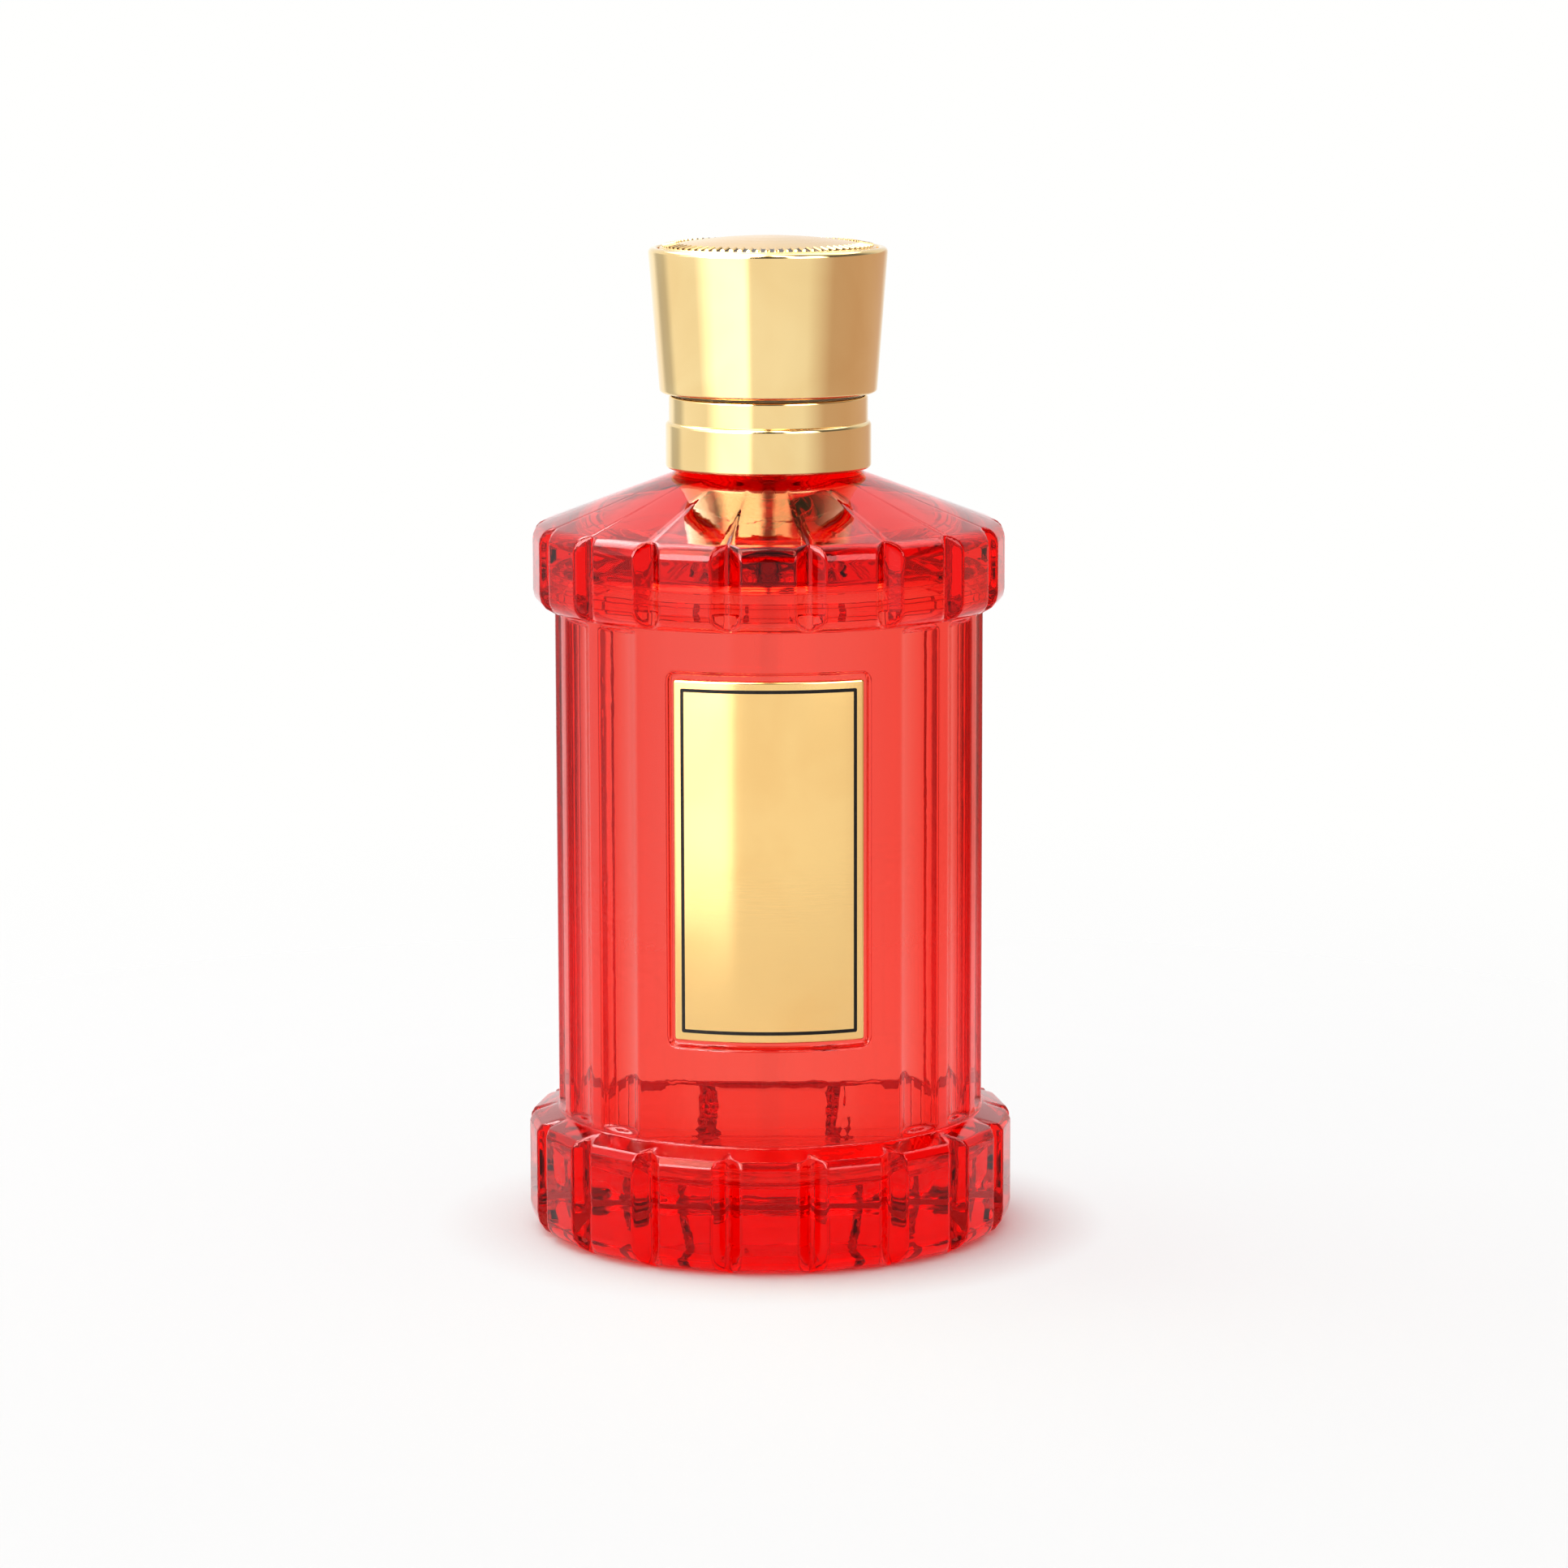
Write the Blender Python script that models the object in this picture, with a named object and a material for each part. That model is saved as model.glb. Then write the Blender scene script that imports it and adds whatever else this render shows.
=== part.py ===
"""Spray bottle for scent: a panelled and fluted glass bottle, a crimped pump, a collar and a pull-off cap.

Builds one object for each piece, in metres, with +Z up. The foot stands on Z = 0, the bottle's axis is Z
and the front, with the label, faces -Y.
"""

import math

import bmesh
import bpy
from mathutils import Matrix

MM = 0.001

# Clearances
SEAT_GAP = 0.3 * MM  # between a piece and what it rests on or fits round
SLIDE_GAP = 0.3 * MM  # round the pieces that slide in the pump
BUTTON_GAP = 0.5 * MM  # from the button out to the mouth of the collar insert
STOP_GAP = 0.4 * MM  # left between the button and the collar insert at the end of the stroke

# Glass, outside
BODY_RADIUS = 26.2 * MM
BODY_HEIGHT = 62.2 * MM
PANEL_COUNT = 18
SEGMENTS_PER_PANEL = 3
GROOVE_WIDTH = 3.6 * MM
GROOVE_DEPTH = 1.7 * MM
LOWER_RING_REACH = 3.5 * MM  # out from the body to the middle of a panel
UPPER_RING_REACH = 2.5 * MM
FOOT_INSET = 3.0 * MM  # from the panels in to the flat of the foot
FOOT_ROUND = 2.8 * MM
PUNT_INSET = 4.7 * MM  # width of the flat of the foot
PUNT_DEPTH = 1.4 * MM
LOWER_RING_HEIGHT = 15.0 * MM
LOWER_EDGE_RUN = 1.1 * MM
LOWER_EDGE_RISE = 0.8 * MM
LEDGE_RISE = 1.0 * MM
UPPER_RING_HEIGHT = 10.5 * MM
UPPER_FOOT_RISE = 2.4 * MM
UPPER_EDGE_RUN = 1.4 * MM
UPPER_EDGE_RISE = 1.5 * MM
EDGE_SOFTNESS = 1.3  # power of the ring edges: 1 is an ellipse and 2 a straight chamfer
SHOULDER_SLOPE = math.radians(20.6)
SHOULDER_FILLET = 0.8 * MM
PLINTH_RADIUS = 11.2 * MM
PLINTH_HEIGHT = 1.45 * MM
NECK_RADIUS = 6.6 * MM
NECK_HEIGHT = 6.6 * MM
BEAD_RADIUS = 7.5 * MM
BEAD_HEIGHT = 3.0 * MM
BEAD_CHAMFER = 0.6 * MM

# Glass, inside
WALL = 5.5 * MM
FLOOR = 9.0 * MM
FLOOR_CORNER = 4.0 * MM
ROOF_THICKNESS = 3.4 * MM  # under the foot of the plinth
ROOF_SLOPE = math.radians(12.0)
ROOF_CORNER = 3.0 * MM
BORE_RADIUS = 5.0 * MM
BORE_FILLET = 1.5 * MM
HEADSPACE = 1.0 * MM  # from the filling up to the foot of the bore

# Flutes on both sides of the body
FLUTES_PER_SIDE = 6
FLUTE_PITCH = math.radians(18.4)
FLUTE_ANGLE = math.radians(13.7)
FLUTE_DEPTH = 0.9 * MM
FLUTE_END_GAP = 0.3 * MM  # above the ledge and below the upper ring

# Label
LABEL_HALF_WIDTH = 11.7 * MM  # along the curve of the plate
LABEL_BOTTOM_MARGIN = 12.9 * MM  # above the ledge
LABEL_TOP_MARGIN = 5.8 * MM  # below the upper ring
LABEL_THICKNESS = 0.5 * MM
LABEL_CORNER = 0.4 * MM
LABEL_BEVEL = 0.15 * MM
RECESS_MARGIN = 0.8 * MM
RECESS_CORNER = 1.0 * MM
RECESS_DEPTH = 0.6 * MM

# Collar
COLLAR_OVERLAP = 1.0 * MM  # how far the collar hangs down over the plinth
COLLAR_RING_RADIUS = 12.55 * MM
COLLAR_RING_HEIGHT = 5.6 * MM
COLLAR_BAND_RADIUS = 12.15 * MM
COLLAR_BAND_HEIGHT = 3.3 * MM
COLLAR_ROUND = 0.5 * MM
COLLAR_WALL = 0.6 * MM
SPIGOT_RADIUS = 9.7 * MM
INSERT_LIP = 0.8 * MM

# Crimped pump
FERRULE_WALL = 0.45 * MM
GASKET_THICKNESS = 0.8 * MM
HOUSING_RADIUS = 4.3 * MM
HOUSING_BORE = 3.4 * MM
HOUSING_FLANGE = 0.8 * MM
CHAMBER_DEPTH = 17.0 * MM
CAGE_LIP = 0.4 * MM
CAGE_PLAY = 0.4 * MM
INLET_RADIUS = 0.8 * MM
INLET_LENGTH = 1.0 * MM
SOCKET_DEPTH = 5.0 * MM
TAIL_WALL = 1.0 * MM
TURRET_RADIUS = 3.6 * MM
TURRET_FLANGE = 0.6 * MM
TURRET_SPIGOT = 3.0 * MM
TURRET_RISE = 2.0 * MM  # above the ferrule
SEAL_THICKNESS = 0.8 * MM
SEAL_REST_GAP = 0.8 * MM
STEM_RADIUS = 1.6 * MM
STEM_BORE = 0.7 * MM
STEM_FOOT_RADIUS = 2.7 * MM
STEM_FOOT = 0.6 * MM
PISTON_LENGTH = 2.8 * MM
PISTON_WAIST = 0.35 * MM
PISTON_LIP = 0.7 * MM
STROKE = 4.0 * MM
SPRING_RADIUS = 2.3 * MM
SPRING_WIRE = 0.25 * MM  # radius
SPRING_TURNS = 5.5
POINTS_PER_TURN = 9
BALL_RADIUS = 1.2 * MM
BALL_TRAVEL = 1.0 * MM
TUBE_RADIUS = 1.3 * MM
TUBE_WALL = 0.5 * MM
TUBE_END_GAP = 1.5 * MM  # above the floor

# Button
SLEEVE_RADIUS = 6.9 * MM
SLEEVE_WALL = 0.4 * MM
SLEEVE_ROUND = 0.7 * MM
CORE_HOLLOW = 4.2 * MM
CORE_RIM = 0.4 * MM  # least depth of the hollow
STEM_INSET = 1.8 * MM  # from the top of the core down to the stem
NOZZLE_RADIUS = 1.4 * MM
NOZZLE_LENGTH = 2.2 * MM
NOZZLE_RECESS = 0.2 * MM
NOZZLE_DISH = 0.7 * MM
NOZZLE_ORIFICE = 0.2 * MM
CHANNEL_RADIUS = 0.5 * MM

# Cap
CAP_BOTTOM_RADIUS = 13.25 * MM
CAP_RIM_RADIUS = 14.6 * MM
CAP_HEIGHT = 17.6 * MM  # to the top of the rim
CAP_WALL = 1.0 * MM
CAP_BOTTOM_ROUND = 0.5 * MM
CAP_RIM_ROUND = 0.8 * MM
DISC_INSET = 1.4 * MM  # from the edge of the cap in to the disc
DISC_RECESS = 0.9 * MM
DISC_DOME = 1.3 * MM
LINER_WALL = 1.0 * MM
LINER_INSET = 0.5 * MM
CAP_HEADROOM = 1.8 * MM  # above the button

# Facets
COARSE = 16
MEDIUM = 28
FINE = 40
ROD = 30
ARC_STEPS = 3
WELD = 1e-7

# Radii and levels of the glass
lower_ring_apothem = BODY_RADIUS + LOWER_RING_REACH
upper_ring_apothem = BODY_RADIUS + UPPER_RING_REACH
foot_radius = lower_ring_apothem - FOOT_INSET
punt_radius = foot_radius - PUNT_INSET
z_ledge = LOWER_RING_HEIGHT
z_ring = z_ledge + BODY_HEIGHT
z_shoulder = z_ring + UPPER_RING_HEIGHT
shoulder_radius = upper_ring_apothem - UPPER_EDGE_RUN
cavity_radius = BODY_RADIUS - WALL


def cone_height(radius):
    """Height of the outer shoulder at a radius."""
    return z_shoulder + (shoulder_radius - radius) * math.tan(SHOULDER_SLOPE)


def roof_height(radius):
    """Height of the inner shoulder at a radius."""
    roof_top = cone_height(PLINTH_RADIUS) - ROOF_THICKNESS
    return roof_top - (radius - BORE_RADIUS) * math.tan(ROOF_SLOPE)


z_plinth = cone_height(PLINTH_RADIUS) + PLINTH_HEIGHT
z_neck = z_plinth + NECK_HEIGHT
z_bead = z_neck - BEAD_HEIGHT
roof_corner_radius = cavity_radius - ROOF_CORNER
z_roof_corner = roof_height(roof_corner_radius) - ROOF_CORNER / math.cos(ROOF_SLOPE)
z_fill = roof_height(BORE_RADIUS + BORE_FILLET) - HEADSPACE

# Levels of the stack on the neck, from the gasket up
z_gasket = z_neck + SEAT_GAP
z_flange = z_gasket + GASKET_THICKNESS + SEAT_GAP
z_flange_top = z_flange + HOUSING_FLANGE
z_turret = z_flange_top + SEAT_GAP
z_plate = z_turret + TURRET_FLANGE + SEAT_GAP
z_ferrule_top = z_plate + FERRULE_WALL
z_turret_top = z_ferrule_top + TURRET_RISE
z_lip = z_ferrule_top + SEAT_GAP
z_lip_top = z_lip + INSERT_LIP
z_button = z_lip_top + STROKE + STOP_GAP

# Levels inside the pump, from the turret down
z_spigot = z_turret - TURRET_SPIGOT
z_seal = z_spigot - SEAT_GAP - SEAL_THICKNESS
z_piston_top = z_seal - SEAL_REST_GAP
z_piston = z_piston_top - PISTON_LENGTH
z_stem = z_piston - SEAT_GAP - STEM_FOOT
z_seat = z_flange_top - CHAMBER_DEPTH
z_cage = z_seat - CAGE_LIP
z_ball = z_cage - SLIDE_GAP - BALL_TRAVEL - BALL_RADIUS
z_inlet = z_ball - (BALL_RADIUS + SEAT_GAP) * math.sqrt(2) + INLET_RADIUS
z_socket = z_inlet - INLET_LENGTH
z_housing = z_socket - SOCKET_DEPTH
socket_radius = TUBE_RADIUS + SEAT_GAP
tail_radius = socket_radius + TAIL_WALL
slide_bore = STEM_RADIUS + SLIDE_GAP
piston_radius = HOUSING_BORE - SLIDE_GAP

# Levels of the collar and the cap
z_collar = z_plinth - COLLAR_OVERLAP
z_band = z_collar + COLLAR_RING_HEIGHT
z_collar_top = z_band + COLLAR_BAND_HEIGHT
collar_bore = PLINTH_RADIUS + SEAT_GAP
ferrule_bore = BEAD_RADIUS + SEAT_GAP
ferrule_radius = ferrule_bore + FERRULE_WALL
insert_bore = ferrule_radius + SEAT_GAP
z_cap = z_collar_top + SEAT_GAP
disc_radius = CAP_RIM_RADIUS - DISC_INSET
z_rim = z_cap + CAP_HEIGHT
z_disc = z_rim - DISC_RECESS
z_ceiling = z_disc - SEAT_GAP - CAP_WALL
z_liner_top = z_ceiling - SEAT_GAP
z_liner_flange = z_liner_top - LINER_WALL
z_button_top = z_ceiling - CAP_HEADROOM
z_core = z_button + SEAT_GAP
z_core_top = z_button_top - SLEEVE_WALL - SEAT_GAP
z_hollow = max(z_turret_top + STROKE + STOP_GAP, z_core + CORE_RIM)
z_stem_top = z_core_top - STEM_INSET
z_nozzle = (z_hollow + z_core_top) / 2
core_radius = SLEEVE_RADIUS - SLEEVE_WALL - SEAT_GAP
nozzle_front = SLEEVE_RADIUS - NOZZLE_RECESS


def clear_scene():
    """Removes every object, so that the script can be run again."""
    for item in list(bpy.data.objects):
        bpy.data.objects.remove(item, do_unlink=True)


def make_material(name, colour, roughness, metallic=0.0, transmission=0.0):
    """Principled material of one piece."""
    material = bpy.data.materials.new(name)
    material.use_nodes = True
    shader = material.node_tree.nodes["Principled BSDF"]
    shader.inputs["Base Color"].default_value = (*colour, 1.0)
    shader.inputs["Roughness"].default_value = roughness
    shader.inputs["Metallic"].default_value = metallic
    shader.inputs["Transmission Weight"].default_value = transmission
    material.diffuse_color = (*colour, 1.0)
    return material


def gold(name):
    return make_material(name, (0.86, 0.62, 0.28), 0.16, metallic=1.0)


def clear_plastic(name):
    return make_material(name, (0.92, 0.92, 0.90), 0.25, transmission=0.6)


def white_plastic(name):
    return make_material(name, (0.85, 0.85, 0.83), 0.40)


def make_axis(name, height, parent=None):
    """Empty on the bottle's axis that carries the pieces of one joint."""
    axis = bpy.data.objects.new(name, None)
    axis.empty_display_size = CAP_RIM_RADIUS
    bpy.context.scene.collection.objects.link(axis)
    seat_on(axis, height, parent)
    return axis


def seat_on(item, height, parent):
    """Puts an object's origin on the axis at a height, as a child of its parent."""
    carried = parent["height"] if parent else 0.0
    item["height"] = height
    item.location.z = height - carried
    item.parent = parent


def add_piece(name, bm, material, height=0.0, parent=None, sharp=30.0):
    """Turns a bmesh, drawn in place, into a named object with its origin on the axis at a height."""
    bmesh.ops.translate(bm, verts=bm.verts, vec=(0.0, 0.0, -height))
    mesh = bpy.data.meshes.new(name)
    bm.to_mesh(mesh)
    bm.free()
    mesh.shade_smooth()
    mesh.set_sharp_from_angle(angle=math.radians(sharp))
    mesh.materials.append(material)
    piece = bpy.data.objects.new(name, mesh)
    bpy.context.scene.collection.objects.link(piece)
    seat_on(piece, height, parent)
    return piece


def add_cutter(name, bm):
    """Hidden object that only cuts other pieces."""
    mesh = bpy.data.meshes.new(name)
    bm.to_mesh(mesh)
    bm.free()
    cutter = bpy.data.objects.new(name, mesh)
    cutter.hide_render = True
    cutter.display_type = "WIRE"
    bpy.context.scene.collection.objects.link(cutter)
    return cutter


def cut(piece, cutter):
    """Boolean difference that stays on the piece."""
    modifier = piece.modifiers.new(cutter.name, "BOOLEAN")
    modifier.operation = "DIFFERENCE"
    modifier.solver = "EXACT"
    modifier.object = cutter


def arc(centre, radius, start, end, steps=ARC_STEPS):
    """Points of a circular arc in the plane of a profile, angles in degrees."""
    points = []
    for step in range(steps + 1):
        angle = math.radians(start + (end - start) * step / steps)
        points.append((centre[0] + radius * math.cos(angle), centre[1] + radius * math.sin(angle)))
    return points


def turn(profile, steps):
    """Full turn of a profile about Z: a solid if it runs from axis to axis, and otherwise a ring."""
    bm = bmesh.new()
    verts = [bm.verts.new((radius, 0.0, height)) for radius, height in profile]
    edges = [bm.edges.new(pair) for pair in zip(verts, verts[1:])]
    if profile[0][0] > WELD:
        edges.append(bm.edges.new((verts[-1], verts[0])))
    bmesh.ops.spin(
        bm, geom=verts + edges, cent=(0, 0, 0), axis=(0, 0, 1), angle=math.tau, steps=steps, use_merge=True
    )
    bmesh.ops.remove_doubles(bm, verts=bm.verts, dist=WELD)
    bmesh.ops.recalc_face_normals(bm, faces=bm.faces)
    return bm


def panel_offset(step):
    """Angle of a loop's point from the middle of its panel."""
    panel = math.tau / PANEL_COUNT
    return panel * (step % SEGMENTS_PER_PANEL) / SEGMENTS_PER_PANEL - panel / 2


def loft(levels):
    """Skins loops of (radius, height, flatness) about Z: flatness 0 is round and 1 has flat panels."""
    count = PANEL_COUNT * SEGMENTS_PER_PANEL
    front_groove = -math.pi / 2 - math.pi / PANEL_COUNT
    bm = bmesh.new()
    loops = []
    for radius, height, flatness in levels:
        if radius < WELD:
            loops.append([bm.verts.new((0.0, 0.0, height))] * count)
            continue
        loop = []
        for step in range(count):
            angle = front_groove + math.tau * step / count
            reach = radius * (1 - flatness + flatness / math.cos(panel_offset(step)))
            loop.append(bm.verts.new((reach * math.cos(angle), reach * math.sin(angle), height)))
        loops.append(loop)
    for lower, upper in zip(loops, loops[1:]):
        for step in range(count):
            following = (step + 1) % count
            corners = [lower[step], lower[following], upper[following], upper[step]]
            bm.faces.new(list(dict.fromkeys(corners)))
    bmesh.ops.recalc_face_normals(bm, faces=bm.faces)
    return bm


def soft_edge(radius, height, run, rise, steps=ARC_STEPS):
    """Softened corner of a ring, from its flat side inward by run and up by rise."""
    points = []
    for step in range(steps + 1):
        angle = math.pi / 2 * step / steps
        inward = run * (1 - math.cos(angle) ** EDGE_SOFTNESS)
        points.append((radius - inward, height + rise * math.sin(angle) ** EDGE_SOFTNESS))
    return points


def slope_fillet(wall, slope, surface, radius):
    """Arc from a sloping surface up into a round wall on its inner side."""
    centre = (wall + radius, surface(wall + radius) + radius / math.cos(slope))
    return arc(centre, radius, 270 - math.degrees(slope), 180)


def cavity_profile(gap):
    """Inside of the glass from the middle of the floor up to the top of the straight wall, less a gap."""
    wall = cavity_radius - gap
    corner = FLOOR_CORNER - gap
    return [(0.0, FLOOR + gap)] + arc((wall - corner, FLOOR_CORNER + FLOOR), corner, -90, 0)


def glass_levels():
    """Loops of the glass from the punt, up the outside, over the neck and down the inside to the floor."""
    levels = [(0.0, PUNT_DEPTH, 0), (punt_radius / 2, PUNT_DEPTH * 0.75, 0), (punt_radius, 0.0, 0)]
    for step in range(ARC_STEPS + 1):
        angle = math.pi / 2 * step / ARC_STEPS
        reach = math.sin(angle)
        levels.append((foot_radius + FOOT_INSET * reach, FOOT_ROUND * (1 - math.cos(angle)), reach))

    z_edge = z_ledge - LEDGE_RISE - LOWER_EDGE_RISE
    levels += [(r, z, 1) for r, z in soft_edge(lower_ring_apothem, z_edge, LOWER_EDGE_RUN, LOWER_EDGE_RISE)]
    levels.append((BODY_RADIUS, z_ledge, 0))

    foot_run = upper_ring_apothem - BODY_RADIUS
    underside = soft_edge(upper_ring_apothem, -z_ring - UPPER_FOOT_RISE, foot_run, UPPER_FOOT_RISE)
    for index, (radius, height) in enumerate(reversed(underside)):
        levels.append((radius, -height, index / ARC_STEPS))
    z_edge = z_shoulder - UPPER_EDGE_RISE
    levels += [(r, z, 1) for r, z in soft_edge(upper_ring_apothem, z_edge, UPPER_EDGE_RUN, UPPER_EDGE_RISE)]

    rest = slope_fillet(PLINTH_RADIUS, SHOULDER_SLOPE, cone_height, SHOULDER_FILLET)
    rest += [
        (PLINTH_RADIUS, z_plinth),
        (NECK_RADIUS, z_plinth),
        (NECK_RADIUS, z_bead),
        (BEAD_RADIUS, z_bead + BEAD_CHAMFER),
        (BEAD_RADIUS, z_neck - BEAD_CHAMFER),
        (BEAD_RADIUS - BEAD_CHAMFER, z_neck),
        (BORE_RADIUS, z_neck),
    ]
    rest += reversed(slope_fillet(BORE_RADIUS, ROOF_SLOPE, roof_height, BORE_FILLET))
    corner = (roof_corner_radius, z_roof_corner)
    rest += arc(corner, ROOF_CORNER, 90 - math.degrees(ROOF_SLOPE), 0)
    rest += reversed(cavity_profile(0.0))
    return levels + [(r, z, 0) for r, z in rest]


def groove_cutters():
    """V-shaped prisms between the panels of both rings."""
    bm = bmesh.new()
    half_width = GROOVE_WIDTH / 2
    spread = half_width / GROOVE_DEPTH
    rings = (
        (lower_ring_apothem, -FOOT_ROUND, z_ledge + LEDGE_RISE),
        (upper_ring_apothem, z_ring - LEDGE_RISE, z_shoulder + GROOVE_DEPTH),
    )
    for apothem, bottom, top in rings:
        half_panel = apothem * math.tan(math.pi / PANEL_COUNT) - half_width
        edge = math.hypot(apothem, half_panel) * math.cos(half_width / apothem)
        root = edge - GROOVE_DEPTH
        reach = edge + GROOVE_DEPTH
        for groove in range(PANEL_COUNT):
            angle = -math.pi / 2 + math.tau / PANEL_COUNT * (groove + 0.5)
            turned = Matrix.Rotation(angle, 4, "Z")
            outline = [(root, 0.0), (reach, -spread * (reach - root)), (reach, spread * (reach - root))]
            base = [bm.verts.new((x, y, bottom)) for x, y in outline]
            face = bm.faces.new(base)
            grown = bmesh.ops.extrude_face_region(bm, geom=[face])["geom"]
            lifted = [item for item in grown if isinstance(item, bmesh.types.BMVert)]
            bmesh.ops.translate(bm, verts=lifted, vec=(0.0, 0.0, top - bottom))
            bmesh.ops.transform(bm, matrix=turned, verts=base + lifted)
    bmesh.ops.recalc_face_normals(bm, faces=bm.faces)
    return bm


def flute_cutters():
    """Upright rods that hollow the flutes on both sides of the body, from the ledge to the upper ring."""
    half_angle = FLUTE_ANGLE / 2
    drop = BODY_RADIUS * math.cos(half_angle) - (BODY_RADIUS - FLUTE_DEPTH)
    half_chord = BODY_RADIUS * math.sin(half_angle)
    rod = (drop**2 + half_chord**2) / (2 * drop)
    distance = BODY_RADIUS - FLUTE_DEPTH + rod
    low = z_ledge + FLUTE_END_GAP
    high = z_ring - FLUTE_END_GAP
    bm = bmesh.new()
    for side in (0.0, math.pi):
        for flute in range(FLUTES_PER_SIDE):
            angle = side + FLUTE_PITCH * (flute - (FLUTES_PER_SIDE - 1) / 2)
            place = Matrix.Rotation(angle, 4, "Z") @ Matrix.Translation((distance, 0.0, (low + high) / 2))
            bmesh.ops.create_cone(
                bm,
                cap_ends=True,
                segments=ROD,
                radius1=rod,
                radius2=rod,
                depth=high - low,
                matrix=place,
            )
    return bm


def curved_slab(half_width, low, high, corner, inside, outside, columns=10):
    """Slab with rounded corners, bent round the bottle's front between two radii."""
    half_height = (high - low) / 2
    middle = (high + low) / 2
    rows = []
    for step in range(ARC_STEPS + 1):
        angle = math.pi / 2 * step / ARC_STEPS
        inset = corner * (1 - math.cos(angle))
        rows.append((inset - half_width, half_height - corner * (1 - math.sin(angle))))
    inner_width = half_width - corner
    for column in range(1, columns):
        rows.append((-inner_width + 2 * inner_width * column / columns, half_height))
    rows += [(-along, height) for along, height in reversed(rows[: ARC_STEPS + 1])]

    bm = bmesh.new()
    sections = []
    for along, height in rows:
        angle = along / BODY_RADIUS - math.pi / 2
        section = []
        for radius, level in ((inside, -height), (outside, -height), (outside, height), (inside, height)):
            place = (radius * math.cos(angle), radius * math.sin(angle), middle + level)
            section.append(bm.verts.new(place))
        sections.append(section)
    for first, second in zip(sections, sections[1:]):
        for index in range(4):
            following = (index + 1) % 4
            bm.faces.new((first[index], first[following], second[following], second[index]))
    bm.faces.new(sections[0])
    bm.faces.new(sections[-1])
    bmesh.ops.recalc_face_normals(bm, faces=bm.faces)
    return bm


def build_bottle():
    """Glass, its filling and the label plate."""
    red_glass = make_material("red_glass", (0.80, 0.02, 0.03), 0.03, transmission=1.0)
    glass = add_piece("glass_bottle", loft(glass_levels()), red_glass)
    cut(glass, add_cutter("panel_grooves", groove_cutters()))
    cut(glass, add_cutter("body_flutes", flute_cutters()))

    label_low = z_ledge + LABEL_BOTTOM_MARGIN
    label_high = z_ring - LABEL_TOP_MARGIN
    floor = BODY_RADIUS - RECESS_DEPTH
    recess = curved_slab(
        LABEL_HALF_WIDTH + RECESS_MARGIN,
        label_low - RECESS_MARGIN,
        label_high + RECESS_MARGIN,
        RECESS_CORNER,
        floor,
        BODY_RADIUS + RECESS_DEPTH,
    )
    cut(glass, add_cutter("label_recess", recess))

    back = floor + SEAT_GAP
    plate = curved_slab(LABEL_HALF_WIDTH, label_low, label_high, LABEL_CORNER, back, back + LABEL_THICKNESS)
    label = add_piece("label_plate", plate, gold("label_gold"))
    bevel = label.modifiers.new("edge", "BEVEL")
    bevel.width = LABEL_BEVEL
    bevel.segments = 1
    bevel.limit_method = "ANGLE"
    bevel.angle_limit = math.radians(60)

    hole = TUBE_RADIUS + SEAT_GAP
    well = HOUSING_RADIUS + SEAT_GAP
    z_under_roof = roof_height(BORE_RADIUS) - SEAT_GAP / math.cos(ROOF_SLOPE)
    fill_radius = BORE_RADIUS + (z_under_roof - z_fill) / math.tan(ROOF_SLOPE)
    roof_corner = (roof_corner_radius, z_roof_corner)
    filling = cavity_profile(SEAT_GAP)
    filling += arc(roof_corner, ROOF_CORNER - SEAT_GAP, 0, 90 - math.degrees(ROOF_SLOPE))
    filling += [
        (fill_radius, z_fill),
        (well, z_fill),
        (well, z_housing - SEAT_GAP),
        (hole, z_housing - SEAT_GAP),
        (hole, FLOOR + TUBE_END_GAP - SEAT_GAP),
        (0.0, FLOOR + TUBE_END_GAP - SEAT_GAP),
    ]
    liquid = make_material("red_liquid", (0.85, 0.10, 0.08), 0.02, transmission=1.0)
    add_piece("perfume_liquid", turn(filling, MEDIUM), liquid)


def build_collar():
    """Metal collar, and the plastic insert whose spigot holds the cap."""
    top = arc((COLLAR_BAND_RADIUS - COLLAR_ROUND, z_collar_top - COLLAR_ROUND), COLLAR_ROUND, 0, 90, 2)
    step = arc((COLLAR_RING_RADIUS - COLLAR_ROUND, z_band - COLLAR_ROUND), COLLAR_ROUND, 0, 70, 2)
    foot = arc((COLLAR_RING_RADIUS - COLLAR_ROUND, z_collar + COLLAR_ROUND), COLLAR_ROUND, -90, 0, 2)
    flange_bore = SPIGOT_RADIUS + SEAT_GAP
    z_under = z_collar_top - COLLAR_WALL
    shell = foot + step + [(COLLAR_BAND_RADIUS, z_band)] + top
    shell += [(flange_bore, z_collar_top), (flange_bore, z_under)]
    shell += [(collar_bore, z_under), (collar_bore, z_collar)]
    add_piece("neck_collar", turn(shell, FINE), gold("collar_gold"))

    z_shelf = z_under - SEAT_GAP
    insert_radius = collar_bore - SEAT_GAP
    mouth = SLEEVE_RADIUS + BUTTON_GAP
    z_bottom = z_plinth + SEAT_GAP
    insert = [
        (insert_bore, z_bottom),
        (insert_radius, z_bottom),
        (insert_radius, z_shelf),
        (SPIGOT_RADIUS, z_shelf),
        (SPIGOT_RADIUS, z_lip_top),
        (mouth, z_lip_top),
        (mouth, z_lip),
        (insert_bore, z_lip),
    ]
    add_piece("collar_insert", turn(insert, MEDIUM), white_plastic("insert_plastic"))


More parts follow.
